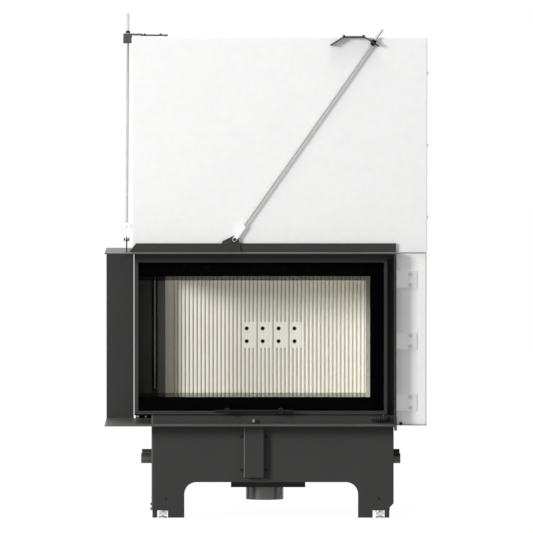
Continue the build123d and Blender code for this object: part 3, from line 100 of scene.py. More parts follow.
class InsertStageSettings(bpy.types.PropertyGroup):
    distance: bpy.props.FloatProperty(
        name="Camera distance", description="From the front flange to the camera", default=36.8, unit="LENGTH")
    eye_height: bpy.props.FloatProperty(
        name="Camera height", description="Height of the camera above the floor", default=2.353, unit="LENGTH")
    frame_width: bpy.props.FloatProperty(
        name="Frame width", description="Width of the picture at the front flange", default=1.74824, unit="LENGTH")
    camera_side: bpy.props.FloatProperty(
        name="Camera side", description="Camera's place across the front", default=-0.0068, unit="LENGTH")
    aim_side: bpy.props.FloatProperty(
        name="Aim side", description="Place across the front flange that the camera looks at", default=-0.0006,
        unit="LENGTH")
    aim_height: bpy.props.FloatProperty(
        name="Aim height", description="Height that the camera looks at", default=0.8344, unit="LENGTH")
    lit_point: bpy.props.FloatVectorProperty(
        name="Lit point", description="Point that both lamps face", subtype="TRANSLATION", size=3,
        default=(0.0, -0.2, 0.8))
    key_place: bpy.props.FloatVectorProperty(
        name="Key place", description="Tall lamp's place from the lit point", subtype="TRANSLATION", size=3,
        default=(-8.96, -8.27, 2.43))
    key_wide: bpy.props.FloatProperty(
        name="Key width", description="Width of the tall lamp", default=3.2, unit="LENGTH")
    key_tall: bpy.props.FloatProperty(
        name="Key height", description="Height of the tall lamp", default=2.5, unit="LENGTH")
    top_place: bpy.props.FloatVectorProperty(
        name="Top place", description="Overhead lamp's place from the lit point", subtype="TRANSLATION", size=3,
        default=(0.0, -0.9, 5.2))
    top_side: bpy.props.FloatProperty(
        name="Top lamp side", description="Side of the square overhead lamp", default=3.0, unit="LENGTH")
    floor_side: bpy.props.FloatProperty(
        name="Floor side", description="Side of the square floor", default=60.0, unit="LENGTH")
    floor_drop: bpy.props.FloatProperty(
        name="Floor drop", description="Floor below the feet", default=0.0005, unit="LENGTH")
    key_power: bpy.props.FloatProperty(
        name="Key light", description="Power of the tall lamp at the upper left", default=1190.0, unit="POWER")
    sky: bpy.props.FloatProperty(name="Sky", description="Strength of the surrounding light", default=0.22)
    top_power: bpy.props.FloatProperty(
        name="Top light", description="Power of the soft lamp overhead", default=180.0, unit="POWER")


class InsertFixingSettings(bpy.types.PropertyGroup):
    right_lean: bpy.props.FloatProperty(
        name="Right rod lean", description="Lean of the stay rod before the shaft", default=math.radians(35.2),
        subtype="ANGLE")
    left_lean: bpy.props.FloatProperty(
        name="Left rod lean", description="Lean of the stay rod beside the shaft", default=math.radians(29.4),
        subtype="ANGLE")
    hat_slope: bpy.props.FloatProperty(
        name="Hat slope", description="Slope of the hat brackets' sides", default=math.radians(33.0),
        subtype="ANGLE")
    hat_beyond: bpy.props.FloatProperty(
        name="Rod beyond the flat", description="From the end of a hat's flat to the rod's axis", default=0.04,
        unit="LENGTH")
    hat_flat: bpy.props.FloatProperty(
        name="Hat flat", description="Length of a hat bracket's flat", default=0.072, unit="LENGTH")
    strap: bpy.props.FloatProperty(
        name="Strap", description="Thickness of the hat brackets' strap", default=0.004, unit="LENGTH")
    left_raise: bpy.props.FloatProperty(
        name="Left hat raise", description="Left hat bracket above the right one", default=0.003, unit="LENGTH")
    nut_across: bpy.props.FloatProperty(
        name="Nut", description="Nuts of the stay rods, across their flats", default=0.014, unit="LENGTH")
    lock_nut: bpy.props.FloatProperty(
        name="Lock nut", description="Left rod's lock nut, beyond its bracket", default=0.0245, unit="LENGTH")
    bolt_across: bpy.props.FloatProperty(
        name="Bracket bolt", description="Bolts of the bracket arms, across their flats", default=0.007, unit="LENGTH")
    leg_bolt: bpy.props.FloatProperty(
        name="Leg bolt", description="Bolts in the side of the legs, across their flats", default=0.007,
        unit="LENGTH")
    rib_pitch: bpy.props.FloatProperty(
        name="Rib pitch", description="Pitch of the latch barrel's ribs", default=0.0066, unit="LENGTH")
    rib_width: bpy.props.FloatProperty(
        name="Rib width", description="Width of each rib along the barrel", default=0.0032, unit="LENGTH")
    rib_stand: bpy.props.FloatProperty(
        name="Rib height", description="Ribs stand this far out of the barrel", default=0.0008, unit="LENGTH")
    rib_wall: bpy.props.FloatProperty(
        name="Rib wall", description="Thickness of the ring that makes a rib", default=0.0012, unit="LENGTH")


# ---------------------------------------------------------------- shader groups
def group_io(name, inputs, outputs):
    tree = bpy.data.node_groups.new(name, "ShaderNodeTree")
    for label, kind, value in inputs:
        socket = tree.interface.new_socket(name=label, in_out="INPUT", socket_type=kind)
        socket.default_value = value
    for label, kind in outputs:
        tree.interface.new_socket(name=label, in_out="OUTPUT", socket_type=kind)
    return tree, tree.nodes.new("NodeGroupInput"), tree.nodes.new("NodeGroupOutput")


def maths(tree, operation, a, b=None, clamp=False):
    node = tree.nodes.new("ShaderNodeMath")
    node.operation = operation
    node.use_clamp = clamp
    for slot, value in enumerate((a, b)):
        if value is None:
            continue
        if isinstance(value, (int, float)):
            node.inputs[slot].default_value = value
        else:
            tree.links.new(value, node.inputs[slot])
    return node.outputs[0]


def grain_group():
    """Fine stipple with slow clouds over it, for coats and sheets."""
    tree, gin, gout = group_io(
        "Surface Grain",
        (("Vector", "NodeSocketVector", (0.0, 0.0, 0.0)), ("Fine Scale", "NodeSocketFloat", 900.0),
         ("Cloud Scale", "NodeSocketFloat", 6.0)),
        (("Fine", "NodeSocketFloat"), ("Cloud", "NodeSocketFloat")))
    for output, scale, detail in (("Fine", "Fine Scale", 2.0), ("Cloud", "Cloud Scale", 4.0)):
        noise = tree.nodes.new("ShaderNodeTexNoise")
        noise.inputs["Detail"].default_value = detail
        tree.links.new(gin.outputs["Vector"], noise.inputs["Vector"])
        tree.links.new(gin.outputs[scale], noise.inputs["Scale"])
        tree.links.new(noise.outputs["Fac"], gout.inputs[output])
    return tree


def dust_group():
    """A pale layer on faces turned up: settled dusting, and where it is laid on heavily, as on the flanges, painted
    light that stands in for the light and reflection their top faces catch.
    """
    tree, gin, gout = group_io(
        "Settled Dust",
        (("Cloud", "NodeSocketFloat", 0.5), ("Amount", "NodeSocketFloat", 0.1)),
        (("Mask", "NodeSocketFloat"),))
    geometry = tree.nodes.new("ShaderNodeNewGeometry")
    split = tree.nodes.new("ShaderNodeSeparateXYZ")
    tree.links.new(geometry.outputs["Normal"], split.inputs[0])
    up = maths(tree, "MULTIPLY", split.outputs["Z"], gin.outputs["Amount"], clamp=True)
    tree.links.new(maths(tree, "MULTIPLY", up, gin.outputs["Cloud"], clamp=True), gout.inputs["Mask"])
    return tree


def spangle_group():
    """Zinc spangle: large dull crystals with slightly different greys."""
    tree, gin, gout = group_io(
        "Zinc Spangle",
        (("Vector", "NodeSocketVector", (0.0, 0.0, 0.0)), ("Scale", "NodeSocketFloat", 90.0)),
        (("Crystal", "NodeSocketFloat"),))
    cells = tree.nodes.new("ShaderNodeTexVoronoi")
    tree.links.new(gin.outputs["Vector"], cells.inputs["Vector"])
    tree.links.new(gin.outputs["Scale"], cells.inputs["Scale"])
    split = tree.nodes.new("ShaderNodeSeparateColor")
    tree.links.new(cells.outputs["Color"], split.inputs[0])
    tree.links.new(split.outputs[0], gout.inputs["Crystal"])
    return tree


GROUPS = {}


def use_group(tree, key, links, **values):
    node = tree.nodes.new("ShaderNodeGroup")
    node.node_tree = GROUPS[key]
    for label, value in values.items():
        node.inputs[label.replace("_", " ")].default_value = value
    for label, source in links.items():
        tree.links.new(source, node.inputs[label])
    return node


def start_material(name, **sockets):
    material = bpy.data.materials.new(name)
    material.use_nodes = True
    tree = material.node_tree
    shader = tree.nodes["Principled BSDF"]
    for label, value in sockets.items():
        shader.inputs[label.replace("_", " ")].default_value = value
    place = tree.nodes.new("ShaderNodeTexCoord")
    return material, tree, shader, place.outputs["Object"]


def tint(tree, factor, low, high):
    mix = tree.nodes.new("ShaderNodeMix")
    mix.data_type = "RGBA"
    mix.inputs["A"].default_value = (*low, 1.0)
    mix.inputs["B"].default_value = (*high, 1.0)
    tree.links.new(factor, mix.inputs["Factor"])
    return mix.outputs["Result"]


def spread(tree, value, low, high):
    node = tree.nodes.new("ShaderNodeMapRange")
    node.inputs["To Min"].default_value = low
    node.inputs["To Max"].default_value = high
    tree.links.new(value, node.inputs["Value"])
    return node.outputs["Result"]


def bump(tree, shader, height, distance, strength=0.5):
    node = tree.nodes.new("ShaderNodeBump")
    node.inputs["Distance"].default_value = distance
    node.inputs["Strength"].default_value = strength
    tree.links.new(height, node.inputs["Height"])
    tree.links.new(node.outputs["Normal"], shader.inputs["Normal"])


def scaled(colour, factor):
    return tuple(min(1.0, c * factor) for c in colour)


def band_mask(tree, place, axis, centre, half, soft):
    """One inside a band across an axis of the piece, falling to zero over a soft edge."""
    split = tree.nodes.new("ShaderNodeSeparateXYZ")
    tree.links.new(place, split.inputs[0])
    off = maths(tree, "ABSOLUTE", maths(tree, "SUBTRACT", split.outputs[axis], centre))
    return maths(tree, "DIVIDE", maths(tree, "SUBTRACT", half, off), soft, clamp=True)


def lay_over(tree, factor, colour, tone):
    """Lay one plain tone over a colour, as much as the factor says."""
    layer = tree.nodes.new("ShaderNodeMix")
    layer.data_type = "RGBA"
    layer.inputs["B"].default_value = (*tone, 1.0)
    tree.links.new(factor, layer.inputs["Factor"])
    tree.links.new(colour, layer.inputs["A"])
    return layer.outputs["Result"]


def paint_bands(tree, place, colour, bands):
    """Lay strips of another tone over a colour: painted highlights down folds that catch the light, and painted shade
    along seams, edges and parts that lie in shadow.
    """
    for axis, centre, half, soft, tone in bands:
        colour = lay_over(tree, band_mask(tree, place, axis, centre, half, soft), colour, tone)
    return colour


# tone of the pale layer on faces turned up: dusting, and on the flanges painted top light
DUST_TONE = (0.45, 0.43, 0.40)
STAIN_TONE = (0.24, 0.19, 0.12)


def coat_material(name, colour, roughness, grain, dust=0.03, fine=900.0, sheen=0.15, bands=()):
    material, tree, shader, place = start_material(
        name, Metallic=0.0, Roughness=roughness, Specular_IOR_Level=sheen)
    noise = use_group(tree, "grain", {"Vector": place}, Fine_Scale=fine, Cloud_Scale=5.0)
    dusty = use_group(tree, "dust", {"Cloud": noise.outputs["Cloud"]}, Amount=dust)
    base = tint(tree, noise.outputs["Cloud"], scaled(colour, 0.88), scaled(colour, 1.12))
    dusted = lay_over(tree, dusty.outputs["Mask"], base, DUST_TONE)
    tree.links.new(paint_bands(tree, place, dusted, bands), shader.inputs["Base Color"])
    tree.links.new(spread(tree, noise.outputs["Fine"], roughness - 0.08, roughness + 0.1), shader.inputs["Roughness"])
    bump(tree, shader, noise.outputs["Fine"], 0.0004, grain)
    return material


def sheet_material(name, colour, roughness=0.5, metallic=0.25, scale=70.0, variation=0.02, bands=()):
    material, tree, shader, place = start_material(name, Metallic=metallic, Roughness=roughness)
    crystal = use_group(tree, "spangle", {"Vector": place}, Scale=scale)
    noise = use_group(tree, "grain", {"Vector": place}, Fine_Scale=600.0, Cloud_Scale=2.5)
    mixed = maths(tree, "ADD", maths(tree, "MULTIPLY", crystal.outputs["Crystal"], 0.55),
                  maths(tree, "MULTIPLY", noise.outputs["Cloud"], 0.45))
    plain = tint(tree, mixed, scaled(colour, 1.0 - variation), scaled(colour, 1.0 + variation))
    tree.links.new(paint_bands(tree, place, plain, bands), shader.inputs["Base Color"])
    tree.links.new(spread(tree, mixed, roughness - 0.06, roughness + 0.06), shader.inputs["Roughness"])
    bump(tree, shader, noise.outputs["Fine"], 0.0001, 0.08)
    return material


def plated_material(name, colour, roughness, metallic=1.0):
    material, tree, shader, place = start_material(name, Metallic=metallic, Roughness=roughness)
    noise = use_group(tree, "grain", {"Vector": place}, Fine_Scale=700.0, Cloud_Scale=30.0)
    tree.links.new(tint(tree, noise.outputs["Cloud"], scaled(colour, 0.9), scaled(colour, 1.08)),
                   shader.inputs["Base Color"])
    tree.links.new(spread(tree, noise.outputs["Fine"], roughness - 0.07, roughness + 0.1), shader.inputs["Roughness"])
    return material


def thread_material(name, colour):
    """Zinc-plated studding: a fine pitch along the rod, worked out for both leaning rods at once."""
    material, tree, shader, place = start_material(name, Metallic=0.5, Roughness=0.5)
    split = tree.nodes.new("ShaderNodeSeparateXYZ")
    tree.links.new(place, split.inputs[0])
    turns = maths(tree, "SINE", maths(tree, "MULTIPLY", split.outputs["Z"], 2 * math.pi / 0.00102))
    noise = use_group(tree, "grain", {"Vector": place}, Fine_Scale=800.0, Cloud_Scale=25.0)
    tree.links.new(tint(tree, noise.outputs["Cloud"], scaled(colour, 0.9), scaled(colour, 1.08)),
                   shader.inputs["Base Color"])
    bump(tree, shader, turns, 0.0004, 0.35)
    return material


def lining_material(name, colour, ridge_y, groove):
    """Cream refractory, with painted shade that deepens towards the bottom of the grooves between its reeds."""
    material, tree, shader, place = start_material(name, Metallic=0.0, Roughness=0.9, Specular_IOR_Level=0.1)
    noise = use_group(tree, "grain", {"Vector": place}, Fine_Scale=420.0, Cloud_Scale=9.0)
    base = tint(tree, noise.outputs["Cloud"], scaled(colour, 0.95), scaled(colour, 1.04))
    fine = spread(tree, noise.outputs["Fine"], -1.4, 1.0)
    pores = lay_over(tree, maths(tree, "MULTIPLY", fine, 0.25, clamp=True), base, scaled(colour, 0.72))
    split = tree.nodes.new("ShaderNodeSeparateXYZ")
    tree.links.new(place, split.inputs[0])
    # painted shade: the deeper a face lies behind the reeds' front, the more of the groove tone is laid on
    sunk = maths(tree, "DIVIDE", maths(tree, "SUBTRACT", split.outputs["Y"], ridge_y), groove, clamp=True)
    stained = lay_over(tree, maths(tree, "POWER", sunk, 1.5), pores, STAIN_TONE)
    tree.links.new(stained, shader.inputs["Base Color"])
    bump(tree, shader, noise.outputs["Fine"], 0.0002, 0.12)
    return material


def glass_material(name):
    material, tree, shader, place = start_material(
        name, Metallic=0.0, Roughness=0.03, IOR=1.5, Transmission_Weight=0.0, Alpha=0.008)
    noise = use_group(tree, "grain", {"Vector": place}, Fine_Scale=300.0, Cloud_Scale=7.0)
    tree.links.new(tint(tree, noise.outputs["Cloud"], (0.10, 0.095, 0.085), (0.13, 0.125, 0.11)),
                   shader.inputs["Base Color"])
    tree.links.new(spread(tree, noise.outputs["Cloud"], 0.02, 0.05), shader.inputs["Roughness"])
    material.surface_render_method = "BLENDED"
    return material


def print_material(name, cover=None, low=0.0, high=1.0):
    """Black enamel; a half-tone has a cover that goes from one share at height low to another at height high."""
    material, tree, shader, place = start_material(name, Metallic=0.0, Roughness=0.5, Specular_IOR_Level=0.0)
    noise = use_group(tree, "grain", {"Vector": place}, Fine_Scale=500.0, Cloud_Scale=20.0)
    tree.links.new(tint(tree, noise.outputs["Cloud"], (0.0007, 0.0007, 0.0007), (0.001, 0.001, 0.00095)),
                   shader.inputs["Base Color"])
    if cover:
        split = tree.nodes.new("ShaderNodeSeparateXYZ")
        tree.links.new(place, split.inputs[0])
        share = maths(tree, "DIVIDE", maths(tree, "SUBTRACT", split.outputs["Z"], low), high - low, clamp=True)
        tree.links.new(spread(tree, share, *cover), shader.inputs["Alpha"])
    return material


MATERIALS = {}


def build_materials(settings):
    GROUPS.update(grain=grain_group(), dust=dust_group(), spangle=spangle_group())
    coat = tuple(settings.coat_colour)
    base_low, base_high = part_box("base_end_plates")
    cover_middle = (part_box("air_cover")[0][0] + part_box("air_cover")[1][0]) / 2
    casing_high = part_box("right_casing")[1]
    surround_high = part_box("door_surround")[1]
    grain = settings.coat_grain
    zinc = tuple(settings.zinc_sheet_colour)
    MATERIALS.update(
        coat=coat_material("Black Powder Coat", coat, 0.52, grain),
        base=coat_material("Base Powder Coat", coat, 0.52, grain, bands=(
            # painted highlight: a lighter strip down the base's left front fold, where the bend catches the light
            (0, base_low[0] + 0.001, 0.0045, 0.002, scaled(coat, 2.6)),
            # painted shade: a dark strip along the top of the base front, under the door's foot
            (2, base_high[2] + 0.002, 0.006, 0.0015, scaled(coat, 0.15)))),
        cover=coat_material("Cover Powder Coat", coat, 0.52, grain, bands=(
            # painted highlight: a lighter strip down the cover's left fold, where the bend catches the light
            (0, cover_middle - 0.0315, 0.0022, 0.001, scaled(coat, 3.0)),)),
        # painted light: the flanges are a lighter copy of the coat with a heavy pale layer on their tops, partly
        # settled dusting and partly the light and reflection their edges and top faces catch
        flange=coat_material("Flange Powder Coat", scaled(coat, 1.1), 0.45, grain, dust=0.45, sheen=0.4, bands=(
            # painted shade: the flanges are darkened where they run on past the jamb, beside the casing
            (0, casing_high[0], casing_high[0] - surround_high[0], 0.001, scaled(coat, 0.25)),)),
        upstand=coat_material("Upstand Powder Coat", coat, 0.5, grain),
        door=coat_material("Door Frame Coat", scaled(coat, 0.95), 0.5, grain),
        # painted light: the flue collar's coat is lighter than the black coat, to make up for the shade under the deck
        spigot=coat_material("Spigot Coat", (0.06, 0.0555, 0.049), 0.26, 0.04, dust=0.0, sheen=0.9),
        knob=coat_material("Lever Knob Plastic", (0.30, 0.30, 0.30), 0.4, 0.05, dust=0.0, sheen=0.4),
        # painted shade: the lintel and jamb get a darker copy of the coat, for the shadow the flange overhang casts on
        # them
        surround=coat_material("Surround Coat", scaled(coat, 0.7), 0.55, grain, dust=0.0),
        shade=coat_material("Matt Black Fixings", (0.010, 0.010, 0.010), 0.55, grain, dust=0.0, sheen=0.15),
        # painted shade: the deck is near black, for the deep shade beneath the door's left leaf
        soot=coat_material("Soot Black Deck", (0.003, 0.003, 0.003), 0.8, grain, dust=0.0, sheen=0.0),
        # painted light: the handling tubes get a coat lighter than the base's, to make up for the shade they sit in
        tube=coat_material("Tube Coat", (0.062, 0.058, 0.052), 0.35, 0.05, dust=0.0, sheen=0.6),
        firebox=coat_material("Heat-resistant Paint", (0.018, 0.0175, 0.017), 0.7, 0.2, fine=500.0, sheen=0.15),
        sheet=sheet_material("Galvanised Sheet", zinc),
        # painted light: a lighter, matt copy of the galvanised sheet, so the shaft's top face reads as brightly lit
        rim=sheet_material("Galvanised Top Rim", scaled(zinc, 1.1), 0.7, 0.0),
        casing=sheet_material("Galvanised Casing", zinc, bands=(
            # painted shade: a dark line along the casing's top seam and a darker strip down its right fold, which is
            # turned from the light
            (2, casing_high[2], 0.0035, 0.001, scaled(zinc, 0.32)),
            (0, casing_high[0], 0.0038, 0.001, scaled(zinc, 0.5)))),
        bracket=sheet_material("Galvanised Bracket", scaled(zinc, 0.8), 0.42, 0.5),
        zinc=plated_material("Zinc Plate", (0.68, 0.68, 0.69), 0.36),
        clevis=plated_material("Bright Zinc Clevis", (0.92, 0.92, 0.92), 0.45, 0.5),
        screw=plated_material("Dull Screw Zinc", (0.42, 0.42, 0.42), 0.4, 0.6),
        studding=thread_material("Threaded Rod Zinc", (0.46, 0.46, 0.455)),
        steel=plated_material("Bare Steel", (0.40, 0.40, 0.41), 0.42),
        rail=plated_material("Drawn Guide Steel", (0.16, 0.155, 0.15), 0.42),
        rope=plated_material("Stranded Wire", (0.45, 0.45, 0.46), 0.5),
        lining=lining_material("Cream Refractory", tuple(settings.lining_colour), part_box("lining_back")[0][1], 0.0045),
        brick=lining_material("Hearth Brick", scaled(tuple(settings.lining_colour), 0.9), 10.0, 1.0),
        glass=glass_material("Clear Glass-ceramic"),
        print=print_material("Black Glass Print"),
    )


NODE_FINISH = {
    "coat": ("air_box", "base_side_plates", "foot_plates", "hat_brackets", "rear_pillar", "latch_bracket",
             "rear_left_panel", "stay_lugs"),
    "base": ("base_end_plates",),
    "cover": ("air_cover",),
    "soot": ("deck",),
    "tube": ("handling_tubes",),
    "spigot": ("air_spigot",),
    "knob": ("lever_knob",),
    "surround": ("door_surround",),
    "shade": ("clevis_bolts", "air_lever", "cover_screws", "handle_bosses", "handle_bar", "latch_barrel"),
    "flange": ("lower_flange", "upper_flange"),
    "upstand": ("upstand",),
    "door": ("door_frame",),
    "firebox": ("firebox_top", "firebox_walls", "flue_outlet", "baffle_upper", "carriages", "glass_clips"),
    "casing": ("right_casing",),
    "rim": ("shaft_cover",),
    "sheet": ("shaft_front_sheet", "shaft_inner_sheets", "shaft_side_sheets", "shaft_fixings"),
    "bracket": ("casing_brackets", "bearing_plates"),
    "screw": ("casing_screws",),
    "clevis": ("clevises",),
    "zinc": ("foot_front_left", "foot_rear_left", "foot_front_right", "foot_rear_right"),
    "studding": ("stay_rods",),
    "rail": ("guide_rods",),
    "steel": ("counterweight_right", "counterweight_left", "sync_shaft", "idler_right_top", "idler_right_front",
              "idler_right_back", "idler_left_low"),
    "rope": ("ropes",),
    "lining": ("lining_back",),
    "brick": ("baffle_lower", "hearth_floor", "lining_side"),
    "glass": ("door_glass",),
}


# ---------------------------------------------------------------- mesh helpers
WASHER_THICK = 0.0012
WASHER_EDGE = 0.0003


def clear_selection():
    if bpy.context.object and bpy.context.object.mode != "OBJECT":
        bpy.ops.object.mode_set(mode="OBJECT")
    bpy.ops.object.select_all(action="DESELECT")


def finish_piece(piece, name, material, body):
    """Apply the piece's place, name it, give it its finish and let it ride on its body."""
    clear_selection()
    piece.select_set(True)
    bpy.context.view_layer.objects.active = piece
    bpy.ops.object.transform_apply(location=True, rotation=True, scale=True)
    piece.name = name
    piece.data.name = name
    piece.data.materials.clear()
    piece.data.materials.append(MATERIALS[material])
    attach(piece, body)
    return piece


def add_plate(low, high):
    """A box between two corners, ready for edit-mode shaping."""
    clear_selection()
    size = [high[i] - low[i] for i in range(3)]
    middle = [(high[i] + low[i]) / 2 for i in range(3)]
    bpy.ops.mesh.primitive_cube_add(size=1.0, location=middle, scale=size)
    bpy.ops.object.transform_apply(location=True, rotation=True, scale=True)
    return bpy.context.object


def select_faces(piece, test):
    """Select only the faces that pass the test, leaving the piece in object mode."""
    bpy.ops.object.mode_set(mode="EDIT")
    bpy.ops.mesh.select_mode(type="FACE")
    bpy.ops.mesh.select_all(action="DESELECT")
    bpy.ops.object.mode_set(mode="OBJECT")
    for face in piece.data.polygons:
        face.select = bool(test(face))


def bevel_all(piece, width, segments=2):
    clear_selection()
    piece.select_set(True)
    bpy.context.view_layer.objects.active = piece
    bpy.ops.object.mode_set(mode="EDIT")
    bpy.ops.mesh.select_all(action="SELECT")
    bpy.ops.mesh.bevel(offset=width, segments=segments, affect="EDGES")
    bpy.ops.object.mode_set(mode="OBJECT")


def join_pieces(parts):
    clear_selection()
    for part in parts:
        part.select_set(True)
    bpy.context.view_layer.objects.active = parts[0]
    if len(parts) > 1:
        bpy.ops.object.join()
    return bpy.context.object


def align_to(direction):
    return Vector((0.0, 0.0, 1.0)).rotation_difference(Vector(direction)).to_matrix().to_4x4()


def bevelled_cylinder(corners, radius, depth, height, edge):
    """A short cylinder at a height on the Z axis, with every edge bevelled."""
    clear_selection()
    bpy.ops.mesh.primitive_cylinder_add(vertices=corners, radius=radius, depth=depth, location=(0.0, 0.0, height))
    piece = bpy.context.object
    bevel_all(piece, edge, segments=1)
    return piece


def add_hexes(seats, across, height, washer=True):
    """Hex heads of one size, modelled once on a washer and copied to each seat, a place with its direction."""
    lift = WASHER_THICK if washer else 0.0
    parts = [bevelled_cylinder(6, across / math.sqrt(3), height, height / 2 + lift, height * 0.08)]
    if washer:
        parts.append(bevelled_cylinder(24, across * 0.85, WASHER_THICK, WASHER_THICK / 2, WASHER_EDGE))
    model = join_pieces(parts)
    bpy.ops.object.transform_apply(location=True, rotation=True, scale=True)
    heads = []
    for place, direction in seats:
        clear_selection()
        model.select_set(True)
        bpy.context.view_layer.objects.active = model
        bpy.ops.object.duplicate(linked=False)
        head = bpy.context.object
        head.matrix_world = Matrix.Translation(Vector(place)) @ align_to(direction)
        bpy.ops.object.transform_apply(location=True, rotation=True, scale=True)
        heads.append(head)
    clear_selection()
    model.select_set(True)
    bpy.ops.object.delete()
    return heads


def add_ring(low, high, inner_low, inner_high, axis, depth):
    """A flat frame across axis: a plate of the outer size, cut along the opening's edges and given its thickness."""
    clear_selection()
    turn = (math.pi / 2, 0.0, 0.0) if axis == 1 else (0.0, math.pi / 2, 0.0)
    middle = [(low[i] + high[i]) / 2 for i in range(3)]
    bpy.ops.mesh.primitive_plane_add(size=1.0, location=middle, rotation=turn)
    piece = bpy.context.object
    wide = high[0] - low[0] if axis == 1 else high[2] - low[2]
    tall = high[2] - low[2] if axis == 1 else high[1] - low[1]
    piece.scale = (wide, tall, 1.0)
    bpy.ops.object.transform_apply(location=True, rotation=True, scale=True)
    bpy.ops.object.mode_set(mode="EDIT")
    bpy.ops.mesh.select_mode(type="FACE")
    for i in range(3):
        if i == axis:
            continue
        normal = [1.0 if k == i else 0.0 for k in range(3)]
        for edge, limit in ((inner_low[i], low[i]), (inner_high[i], high[i])):
            if abs(edge - limit) > 1e-5:
                bpy.ops.mesh.select_all(action="SELECT")
                bpy.ops.mesh.bisect(plane_co=[edge if k == i else middle[k] for k in range(3)], plane_no=normal)
    select_faces(piece, lambda f: all(i == axis or inner_low[i] < f.center[i] < inner_high[i] for i in range(3)))
    bpy.ops.object.mode_set(mode="EDIT")
    bpy.ops.mesh.delete(type="FACE")
    bpy.ops.object.mode_set(mode="OBJECT")
    wall = piece.modifiers.new("Thickness", "SOLIDIFY")
    wall.thickness = depth
    wall.offset = 0.0
    bpy.ops.object.modifier_apply(modifier=wall.name)
    bpy.ops.object.mode_set(mode="EDIT")
    bpy.ops.mesh.select_all(action="SELECT")
    bpy.ops.mesh.normals_make_consistent(inside=False)
    bpy.ops.object.mode_set(mode="OBJECT")
    return piece


# ---------------------------------------------------------------- operators
class INSERT_OT_finishes(bpy.types.Operator):
    """Give every construction part its own finish"""
    bl_idname = "insert.finishes"
    bl_label = "Finishes"

    def execute(self, context):
        build_materials(context.scene.insert_finish)
        for finish, names in NODE_FINISH.items():
            for name in names:
                piece = NODES[name]
                if piece.material_slots:
                    for slot in piece.material_slots:
                        slot.material = MATERIALS[finish]
                else:
                    piece.data.materials.append(MATERIALS[finish])
        return {"FINISHED"}


PRINT_THICK = 0.0002
PRINT_CORNER = 0.002  # front print past the side pane's back face


class INSERT_OT_glass_print(bpy.types.Operator):
    """Print the black border and its half-tone band behind both panes"""
    bl_idname = "insert.glass_print"
    bl_label = "Glass print"

    def execute(self, context):
        glass = context.scene.insert_glass
        end, fade = glass.print_end, glass.fade
        door_low, door_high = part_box("door_frame")
        pane_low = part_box("door_glass")[0]
        depth = PRINT_THICK
        behind = glass.setback - depth
        low_z, high_z = door_low[2] + glass.rail - glass.cover, door_high[2] - glass.rail + glass.cover
        inner_low = door_low[2] + glass.rail + glass.print_foot
        inner_high = door_high[2] - glass.rail - glass.print_top
        inner_right = door_high[0] - glass.stile - end
        inner_back = door_high[1] - glass.stile - end
        left = pane_low[0] + glass.setback - PRINT_CORNER
        right = door_high[0] - glass.stile + glass.cover
        MATERIALS["fade"] = print_material("Half-tone Glass Print", (0.33, 0.47), inner_low, inner_high)
        y = door_low[1] + behind
        ring = add_ring((left, y, low_z), (right, y, high_z), (left, y, inner_low),
                        (inner_right, y, inner_high), 1, depth)
        finish_piece(ring, "front_print", "print", "door")
        band = add_ring((left, y, inner_low), (inner_right, y, inner_high), (left, y, inner_low + fade),
                        (inner_right - fade, y, inner_high - fade), 1, depth)
        finish_piece(band, "front_print_fade", "fade", "door")
        x = door_low[0] + behind
        front, back = door_low[1] + 2 * glass.stile, door_high[1] - glass.stile + glass.cover
        ring = add_ring((x, front, low_z), (x, back, high_z), (x, front, inner_low), (x, inner_back, inner_high),
                        0, depth)
        finish_piece(ring, "side_print", "print", "door")
        band = add_ring((x, front, inner_low), (x, inner_back, inner_high), (x, front, inner_low + fade),
                        (x, inner_back - fade, inner_high - fade), 0, depth)
        finish_piece(band, "side_print_fade", "fade", "door")
        return {"FINISHED"}


RIB_EDGE = 0.0003


class INSERT_OT_latch_ribs(bpy.types.Operator):
    """Add the ribs round the latch barrel"""
    bl_idname = "insert.latch_ribs"
    bl_label = "Latch ribs"

    def execute(self, context):
        fixing = context.scene.insert_fixing
        low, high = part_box("latch_barrel")
        middle = [(low[i] + high[i]) / 2 for i in range(3)]
        count = int((high[0] - low[0] - fixing.rib_width) / fixing.rib_pitch) + 1
        start = middle[0] - (count - 1) * fixing.rib_pitch / 2
        clear_selection()
        bpy.ops.mesh.primitive_cylinder_add(
            vertices=40, radius=(high[2] - low[2]) / 2 + fixing.rib_stand, depth=fixing.rib_width,
            end_fill_type="NOTHING", location=(start, middle[1], middle[2]), rotation=(0.0, math.pi / 2, 0.0))
        rib = bpy.context.object
        bpy.ops.object.transform_apply(location=False, rotation=True, scale=True)
        wall = rib.modifiers.new("Wall", "SOLIDIFY")
        wall.thickness = fixing.rib_wall
        wall.offset = -1.0
        bpy.ops.object.modifier_apply(modifier=wall.name)
        edge = rib.modifiers.new("Edge", "BEVEL")
        edge.width = RIB_EDGE
        edge.segments = 1
        bpy.ops.object.modifier_apply(modifier=edge.name)
        parts = [rib]
        for step in range(1, count):
            clear_selection()
            rib.select_set(True)
            bpy.context.view_layer.objects.active = rib
            bpy.ops.object.duplicate(linked=False)
            bpy.ops.transform.translate(value=(step * fixing.rib_pitch, 0.0, 0.0))
            parts.append(bpy.context.object)
        piece = join_pieces(parts)
        bpy.ops.object.mode_set(mode="EDIT")
        bpy.ops.mesh.select_all(action="SELECT")
        bpy.ops.mesh.normals_make_consistent(inside=False)
        bpy.ops.object.mode_set(mode="OBJECT")
        finish_piece(piece, "latch_ribs", "coat", "latch")
        return {"FINISHED"}


def rod_crossing(rise, lean, settings):
    """Length along a stay rod from its pivot to the sloping side of its hat bracket."""
    slope = settings.hat_slope
    fall = settings.hat_beyond * math.sin(slope) / (math.cos(slope) + math.sin(slope) * math.tan(lean))
    return (rise - fall) / math.cos(lean)


